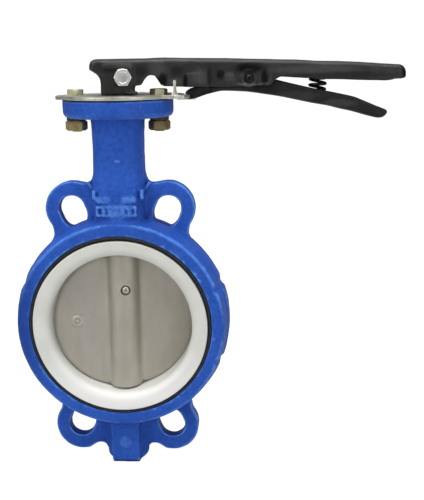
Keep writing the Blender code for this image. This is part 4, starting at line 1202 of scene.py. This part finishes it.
# ================================================================================ fasteners
def hexagon(name, across_flats, low, high, turn=0.0, steep=28.0, both_ends=False):
    """A hexagon whose top, or both ends, are cut back by a cone, as on a rolled bolt head."""
    corner = across_flats / math.sqrt(3)
    points = [(corner * math.cos(math.radians(60 * i + turn)),
               corner * math.sin(math.radians(60 * i + turn))) for i in range(6)]
    obj = to_object(prism(points, "Z", low, high), name)
    flat, wide = across_flats / 2 * 0.97, corner * 1.05
    slope = (wide - flat) * math.tan(math.radians(steep))
    profile = [(0, low), (flat, low), (wide, low + slope)] if both_ends else [(0, low), (wide, low)]
    profile += [(wide, high - slope), (flat, high), (0, high)]
    boolean(obj, [lathe(profile)], "INTERSECT", IDENTITY, "EXACT")
    return obj


def thread(radius, low, high, pitch, segs=32):
    """A helical thread as one closed solid."""
    depth = pitch * 0.54
    rows = int(math.ceil((high - low) / pitch * 4))
    loops = []
    for k in range(rows + 1):
        z = low + (high - low) * k / rows
        fade = min(1.0, (z - low) / pitch, (high - z) / pitch + 0.35)
        loop = []
        for i in range(segs):
            angle = 2 * math.pi * i / segs
            phase = ((z - low) / pitch - i / segs) % 1.0
            wave = abs(phase * 2 - 1)
            reach = radius - depth * (1 - wave) - (1 - fade) * depth * 0.8
            loop.append((reach * math.cos(angle), reach * math.sin(angle), z))
        loops.append(loop)
    return loft(loops)


def hex_bolt(name, matrix, head, dish, edge, radius, shank, threads):
    """dish is (inner radius, floor, outer radius, top); shank and threads start with heights."""
    obj = hexagon(name, **head)
    inner, floor_z, outer, top = dish
    cut(obj, lathe([(0, floor_z), (inner, floor_z), (outer, top), (0, top)], "Z", 64))
    bevel(obj, edge, 2, 25)
    join(obj, rod(radius, *shank), thread(radius, *threads))
    obj.data.transform(matrix)
    return obj


def hex_nut(name, matrix, across_flats, low, high, hole, mouth, lead, reach, **head):
    """hole and mouth are radii, lead the depth of the countersink, reach the cutter's ends."""
    obj = hexagon(name, across_flats, low, high, both_ends=True, **head)
    cut(obj, lathe([(0, reach[0]), (mouth, reach[0]), (mouth, low), (hole, low + lead),
                    (hole, high - lead), (mouth, high), (mouth, reach[1]), (0, reach[1])],
                   "Z", 64))
    bevel(obj, 0.24, 2, 25)
    obj.data.transform(matrix)
    return obj


# Flange bolts: side, x, turn of the head, turn of the nut, gap of the washer, nut material
for label, x, turn, nut_turn, washer_gap, nut_material in (
        ("left", -FLANGE_BOLT_X, 36.8, 11.8, 200.0, BRONZE),
        ("right", FLANGE_BOLT_X, 14.7, 6.7, 60.0, SHADED_BRONZE)):
    move = Matrix.Translation((x * MM, 0, 0))
    bolt = hex_bolt("flange_bolt_" + label + "_m10", move,
                    head=dict(across_flats=13.0, low=PLATE_Z1 + 0.05, high=197.8, turn=turn),
                    dish=(4.4, 197.45, 4.9, 198.0), edge=0.24, radius=4.95,
                    shank=(174.0, PLATE_Z1 + 1.5), threads=(163.0, 174.6, 1.5))
    piece(bolt, BODY, YELLOW, "flange_bolt_" + label, 30)
    washer = to_object(split_ring(5.3, 8.1, 4, 172.5, 174.8, washer_gap, 64),
                       "flange_spring_washer_" + label + "_split", move)
    piece(bevel(washer, 0.15), BODY, DARK_BRONZE, "flange_spring_washer_" + label)
    nut = hex_nut("flange_nut_" + label + "_m10", move, across_flats=16.0, low=163.9, high=172.2,
                  hole=5.3, mouth=6.0, lead=0.8, reach=(160, 176), turn=nut_turn, steep=40.0)
    piece(nut, BODY, nut_material, "flange_nut_" + label, 30)


def cross_frame(x, z):
    """Frame of a part that lies across the lever, its top towards the front."""
    return (LEVER @ Matrix.Translation((x * MM, 0, z * MM))
            @ Matrix.Rotation(math.radians(90), 4, "X"))


CLAMP = cross_frame(CLAMP_X, CLAMP_Z)
clamp = hex_bolt("clamp_bolt_m8", CLAMP,
                 head=dict(across_flats=12.7, low=21.0, high=26.3, steep=24.0),
                 dish=(4.3, 25.9, 4.9, 26.5), edge=0.15, radius=3.95,
                 shank=(-14, 22), threads=(-28.0, -13.4, 1.25))
piece(clamp, TURN, BRIGHT, "clamp_bolt", 30)
washer = to_object(tube(4.3, 6.8, 19.3, 20.7, chamfer=0.2), "clamp_washer_ring", CLAMP)
piece(washer, TURN, ZINC, "clamp_washer")
nut = hex_nut("clamp_nut_m8", CLAMP, across_flats=13.0, low=-25.8, high=-19.3,
              hole=4.3, mouth=4.9, lead=0.7, reach=(-30, -15))
piece(nut, TURN, ZINC, "clamp_nut", 30)

# Pivot pin profile, (radius, height), from the domed head to the grooved tail
PIVOT_PROFILE = [(0, 19.0), (1.9, 18.9), (2.7, 18.5), (3.3, 17.6), (3.5, 16.9), (3.0, 16.8),
                 (3.0, -18.6), (2.4, -18.6), (2.4, -20.1), (3.0, -20.1), (3.0, -20.9),
                 (2.6, -21.3), (0, -21.3)]
PIVOT = cross_frame(PIVOT_X, PIVOT_Z)
pivot = to_object(lathe(PIVOT_PROFILE, "Z", 64), "trigger_pivot_pin_turned", PIVOT)
cut(pivot, lathe([(0, 17.6), (1.1, 17.6), (1.5, 19.9), (0, 19.9)], "Z", 32), matrix=PIVOT)
piece(pivot, TURN, PIVOT_STEEL, "trigger_pivot_pin", 30)
clip = to_object(split_ring(2.7, 5.2, 22, -19.8, -18.9, 250.0), "pivot_clip_ring", PIVOT)
piece(bevel(clip, 0.1, 1), TURN, WIRE, "pivot_clip")

# ==================================================================================== lever
# Side view, (x, z): along the top to the grip end, then back along the underside
LEVER_TOP = [(-22.1, 213.6), (-22.1, 216.8), (-21.1, 219.9), (-19.2, 221.3)]
LEVER_TOP += spline([(-17.2, 221.8), (-12.8, 222.1), (20.0, 222.2), (53.0, 222.4), (87.0, 221.4),
                     (120.0, 220.6), (155.0, 219.2), (189.0, 217.6), (221.0, 215.9),
                     (237.1, 214.9)], 5)
LEVER_TOP += spline([(239.5, 214.1), (241.5, 212.3), (242.8, 209.6), (243.1, 206.6)], 3)
LEVER_TOP += [(243.0, 204.6)]
LEVER_UNDER = [(241.9, 203.5)]
LEVER_UNDER += spline([(239.7, 203.1), (237.6, 202.9), (232.8, 202.6), (224.2, 201.3),
                       (208.0, 201.8), (185.2, 202.9), (151.2, 204.7), (135.0, 206.0)], 4)
LEVER_UNDER += [(130.5, 203.4), (127.0, 199.6), (123.5, 198.6), (61.2, 198.7), (46.0, 199.6),
                (37.6, 199.7)]
LEVER_UNDER += spline([(37.4, 200.4), (34.9, 204.2), (32.2, 207.9), (29.0, 208.8), (25.6, 208.5),
                       (22.6, 205.2), (20.6, 202.2), (19.5, 200.9)], 3)
LEVER_UNDER += [(14.6, 200.9), (14.4, 197.0), (-12.5, 197.0), (-12.8, 201.8), (-13.5, 206.5),
                (-15.9, 209.8), (-20.0, 212.4)]
# Channel open to the underside, and the shallow window round the pivot, (x, z)
LEVER_CHANNEL = [(20.5, 190.0), (20.5, 213.0)]
LEVER_CHANNEL += spline([(26.0, 217.0), (60.0, 217.9), (100.0, 217.0), (155.0, 215.2),
                         (200.0, 213.0), (229.5, 211.2)], 4)
LEVER_CHANNEL += [(235.2, 209.5), (237.6, 206.5), (237.6, 190.0)]
WINDOW = [(98.0, 203.0), (100.0, 200.8), (123.0, 200.4), (126.0, 203.0), (127.5, 208.0),
          (125.5, 214.2), (122.0, 216.0), (101.0, 216.6), (97.5, 214.5), (96.6, 209.0)]
# Hub block section, (y, z), and its stations: x, share of the section's width
HUB_SECTION = [(-18.9, 194.0), (18.9, 194.0), (18.9, 214.6), (16.6, 220.4), (-16.6, 220.4),
               (-18.9, 214.6)]
HUB_STATIONS = [(-12.9, 0.86), (-10.6, 1), (12.4, 1), (14.4, 0.86)]
# Foot that sticks out at the front of the hub, (x, y)
FOOT = [(6.0, -18.0), (9.5, -20.6), (14.5, -22.4), (16.6, -21.0), (16.0, -17.5), (9.0, -14.5)]


def lever_round(x, z):
    """Full rounding along the top and ends, little along the underside."""
    if x < -13:
        return 1.0 if z > 213.7 else 0.25
    if x > 232:
        return 1.0 if z > 203.6 else 0.4
    return 1.0 if z > 212.5 else 0.12


def make_lever():
    obj = to_object(rounded_prism(LEVER_TOP + LEVER_UNDER, 17.0, 4.6, 7, lever_round),
                    "lever_casting")
    voxel(obj, 0.6)
    join(obj, loft([[(x, y * share, z) for y, z in HUB_SECTION] for x, share in HUB_STATIONS]),
         solver=FAST)
    cut(obj, prism(LEVER_CHANNEL, "Y", -13.5, 13.5), solver=FAST)
    window = spline(WINDOW + [WINDOW[0]], 3)[:-1]
    for side in (-1, 1):
        cut(obj, prism(window, "Y", *on_side(side, 15.6, 20.0)), solver=FAST)
        # a round boss with a dish about the pivot
        join(obj, rod(7.2, *on_side(side, 13.6, 17.4), "Y", PIVOT_CENTRE), solver=FAST)
        dish = [(0, side * 16.5), (3.6, side * 16.5), (6.7, side * 18.2), (6.7, side * 20),
                (0, side * 20)]
        cut(obj, lathe(dish, "Y", 64, centre=PIVOT_CENTRE), solver=FAST)
    join(obj, prism(FOOT, "Z", 194.0, 196.2), solver=FAST)
    # low upright ribs on both cheeks
    for x in (41.0, 66.0, 84.0):
        rib = [(x - 1.1, 201.5), (x + 1.1, 201.5), (x + 1.1, 214.5), (x - 1.1, 214.5)]
        for side in (-1, 1):
            join(obj, prism(rib, "Y", *on_side(side, 16.0, 17.45)), solver=FAST)
    voxel(obj, 0.55)
    relax(obj, fill_rounds=16, all_rounds=4)
    roughen(obj, [(22, 0.45), (11, 0.22), (5, 0.07)], seed=23)
    cut(obj, box(-7.3, 7.3, -7.3, 7.3, 180, 211.6), rod(4.3, -40, 40, "Y", CLAMP_CENTRE, 48),
        rod(PIVOT_HOLE_R, -40, 40, "Y", PIVOT_CENTRE, 48), solver=FAST)
    obj.data.transform(LEVER)
    return lighten(obj, 0.35)


piece(mark_curvature(make_lever()), TURN, LEVER_BLACK, "lever", 45)

# ================================================================================== trigger
# Side view, (x, z): from the nose along the underside to the finger end, then back on top
TRIGGER = [(57.8, 188.9)]
TRIGGER += spline([
    (58.6, 188.6), (64.6, 189.2), (73.0, 192.0), (81.4, 194.0), (87.3, 194.9), (100.0, 194.5),
    (111.0, 193.5), (132.2, 190.3), (153.7, 185.7), (166.7, 183.0), (179.7, 180.6),
    (188.5, 178.2), (199.0, 175.8), (210.4, 172.6), (218.0, 170.5), (222.0, 170.0),
    (225.4, 170.8), (227.9, 172.9), (228.8, 175.0), (227.6, 177.0), (225.0, 178.2),
    (214.6, 182.2), (205.0, 186.2), (197.0, 189.2), (175.2, 193.8), (153.6, 198.6),
    (133.9, 203.3), (122.0, 207.0), (115.0, 210.2), (108.5, 211.4), (101.5, 210.0),
    (94.0, 205.0), (84.0, 201.5), (72.0, 199.0), (64.0, 197.6), (60.5, 196.1), (58.4, 194.4)], 4)
TRIGGER += [(57.8, 193.6)]
# Hollow open to the top, and what is cut from both sides of the nose, (x, z)
TRIGGER_HOLLOW = [(124.0, 230.0), (124.0, 196.8)]
TRIGGER_HOLLOW += spline([(132.2, 194.0), (153.7, 189.4), (166.7, 186.7), (179.7, 184.4),
                          (199.0, 179.8), (212.0, 177.0)], 3)
TRIGGER_HOLLOW += [(218.0, 178.6), (221.0, 184.0), (221.0, 230.0)]
NOSE_CUT = [(50.0, 180.0), (72.0, 180.0), (78.0, 188.0), (78.0, 200.0), (66.0, 203.0),
            (50.0, 203.0)]


def trigger_round(x, z):
    """Less rounding at the nose and along the upper edge of the channel."""
    if x < 61:
        return 0.35
    if x > 218:
        return 1.0
    upper = 203.0 - (x - 133.9) * 0.228 if x > 133.9 else 198.0
    if x > 126 and z > upper - 4.0:
        return 0.35
    return 0.9


def make_trigger():
    obj = to_object(rounded_prism(TRIGGER, 12.8, 3.4, 6, trigger_round), "trigger_casting")
    voxel(obj, 0.6)
    cut(obj, prism(TRIGGER_HOLLOW, "Y", -8.8, 8.8),
        *[prism(NOSE_CUT, "Y", *on_side(side, 9.6, 20.0)) for side in (-1, 1)], solver=FAST)
    voxel(obj, 0.5)
    relax(obj, fill_rounds=14, all_rounds=4)
    roughen(obj, [(15, 0.16), (5, 0.07)], seed=31)
    # pivot hole, and the groove that holds the tooth
    cut(obj, rod(PIVOT_HOLE_R, -30, 30, "Y", PIVOT_CENTRE, 48),
        box(50, 66.3, -2.35, 2.35, 187.0, 190.2), solver=FAST)
    obj.data.transform(LEVER)
    return lighten(obj, 0.35)


piece(mark_curvature(make_trigger()), SQUEEZE, BLACK, "trigger", 45)
tooth = to_object(prism([(50.3, 188.0), (66.0, 188.0), (66.0, 189.85), (50.3, 189.85)],
                        "Y", -2.05, 2.05), "latch_tooth_insert", LEVER)
piece(bevel(tooth, 0.35), SQUEEZE, ZINC, "latch_tooth")

# =================================================================================== spring
WIRE_R, COIL_R, COIL_TURNS, COIL_SEGS, WIRE_SEGS = 1.28, 6.6, 6.2, 28, 12
COIL_LOW, COIL_HIGH = Vector((169.0, 0, 188.1)), Vector((171.4, 0, 213.4))


def coil():
    """Closed end turns, open middle turns, seated in the trigger and the lever."""
    upward = (COIL_HIGH - COIL_LOW).normalized()
    side = Vector((0, 1, 0))
    outward = side.cross(upward)
    length = (COIL_HIGH - COIL_LOW).length
    end_rise = 2.05 * WIRE_R
    sections = []
    for i in range(int(COIL_TURNS * COIL_SEGS) + 1):
        turn = i / COIL_SEGS
        angle = 2 * math.pi * turn
        if turn < 1:
            height = end_rise * turn
        elif turn > COIL_TURNS - 1:
            height = length - end_rise * (COIL_TURNS - turn)
        else:
            height = end_rise + (length - 2 * end_rise) * (turn - 1) / (COIL_TURNS - 2)
        radial = outward * math.cos(angle) + side * math.sin(angle)
        centre = COIL_LOW + upward * height + radial * COIL_R
        sections.append([centre + (radial * math.cos(around) + upward * math.sin(around)) * WIRE_R
                         for around in (2 * math.pi * k / WIRE_SEGS for k in range(WIRE_SEGS))])
    return loft(sections)


spring = to_object(coil(), "trigger_spring_coil", LIFT @ LEVER)
shade(spring, 60)
spring.data.materials.append(WIRE)
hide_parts("trigger_spring")
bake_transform(spring)

# ==================================================================================== stage
FLOOR_Z = BOSS_Z - 0.25
# A bowl, (radius, height): flat under the valve, rising all round
FLOOR_PROFILE = [(0, FLOOR_Z), (1600, FLOOR_Z), (2300, FLOOR_Z + 20), (2900, FLOOR_Z + 160),
                 (3350, FLOOR_Z + 520), (3600, FLOOR_Z + 1100), (3700, FLOOR_Z + 2600)]
GLOW_STRENGTH, GLOW_SHARE = 1.37, 0.70       # the floor's own light, seen only by the camera
# Area lights: name, location and target in metres from the bore centre, size, power in watts
LIGHTS = [
    ("overhead", (0.05, -0.30, 1.5), (0.05, 0, 0.0), (1.5, 1.2), 27.0),
    ("front_left", (-1.15, -1.55, 0.85), (0.0, 0, 0.05), (1.1, 1.1), 10.6),
    ("front_right", (1.4, -1.3, 0.45), (0.05, 0, 0.05), (0.9, 1.1), 5.2),
    ("back", (0.2, 1.7, 1.1), (0.05, 0, 0.05), (1.6, 0.8), 9.5)]
# World brightness for lighting the scene, and as the camera sees it
WORLD_LIGHTING, WORLD_SEEN = 0.36, 1.0


def pale_floor():
    mat = Material("pale_floor")
    tone = mat.mix(mat.mask(start=0.3, end=0.7, size=400, detail=3),
                   (0.56, 0.56, 0.56), (0.54, 0.54, 0.54))
    mat.finish(colour=tone, roughness=0.9, specular=0.0)
    glow = mat.add("Emission")
    glow.inputs["Strength"].default_value = GLOW_STRENGTH
    seen = mat.add("LightPath").outputs["Is Camera Ray"]
    blend = mat.add("MixShader")
    mat.put(blend.inputs[0], mat.times(seen, GLOW_SHARE))
    mat.link(mat.bsdf.outputs[0], blend.inputs[1])
    mat.link(glow.outputs[0], blend.inputs[2])
    mat.link(blend.outputs[0], mat.out.inputs[0])
    return mat.data


def make_floor():
    obj = to_object(lathe(spline(FLOOR_PROFILE, 6), "Z", 128), "studio_floor", LIFT)
    obj.data.materials.append(pale_floor())
    shade(obj, 60)


def area_light(name, location, target, size, power):
    light = bpy.data.lights.new(name, "AREA")
    light.shape = "RECTANGLE"
    light.size, light.size_y = size
    light.energy = power
    obj = bpy.data.objects.new(name, light)
    COLL.objects.link(obj)
    obj.location = LIFT @ Vector(location)
    obj.rotation_mode = "QUATERNION"
    obj.rotation_quaternion = (Vector(target) - Vector(location)).to_track_quat("-Z", "Y")
    obj.visible_glossy = name != "back"      # the back light leaves no reflection


def make_world():
    world = bpy.data.worlds.new("studio")
    bpy.context.scene.world = world
    world.use_nodes = True
    tree = world.node_tree
    background = tree.nodes["Background"]
    background.inputs["Color"].default_value = (1.0, 1.0, 1.0, 1)
    light_path = tree.nodes.new("ShaderNodeLightPath")
    strength = tree.nodes.new("ShaderNodeMapRange")
    strength.inputs[3].default_value = WORLD_LIGHTING
    strength.inputs[4].default_value = WORLD_SEEN
    tree.links.new(light_path.outputs["Is Camera Ray"], strength.inputs[0])
    tree.links.new(strength.outputs[0], background.inputs["Strength"])


make_floor()
for row in LIGHTS:
    area_light(*row)
make_world()

# =================================================================================== camera
CAMERA = (123.3975, -755.8291, 225.9365 + BORE_CENTRE * 1000)   # mm from the origin
YAW, PITCH, ROLL = -0.060696, 0.214622, -0.01322                # radians
LENS = 65.076408                                                # mm, on a 36 mm sensor


def make_camera():
    forward = Vector((math.sin(YAW) * math.cos(PITCH), math.cos(YAW) * math.cos(PITCH),
                      -math.sin(PITCH)))
    level = Vector((math.cos(YAW), -math.sin(YAW), 0))
    upright = level.cross(forward)
    right = math.cos(ROLL) * level + math.sin(ROLL) * upright
    upward = -math.sin(ROLL) * level + math.cos(ROLL) * upright
    data = bpy.data.cameras.new("camera")
    data.sensor_width = 36.0
    data.lens = LENS
    data.clip_start, data.clip_end = 0.01, 50.0
    obj = bpy.data.objects.new("camera", data)
    COLL.objects.link(obj)
    rows = [(right[i], upward[i], -forward[i], CAMERA[i] * MM) for i in range(3)]
    obj.matrix_world = Matrix((*rows, (0, 0, 0, 1)))
    bpy.context.scene.camera = obj


make_camera()
bpy.context.scene.view_settings.view_transform = "Standard"

bpy.context.view_layer.update()
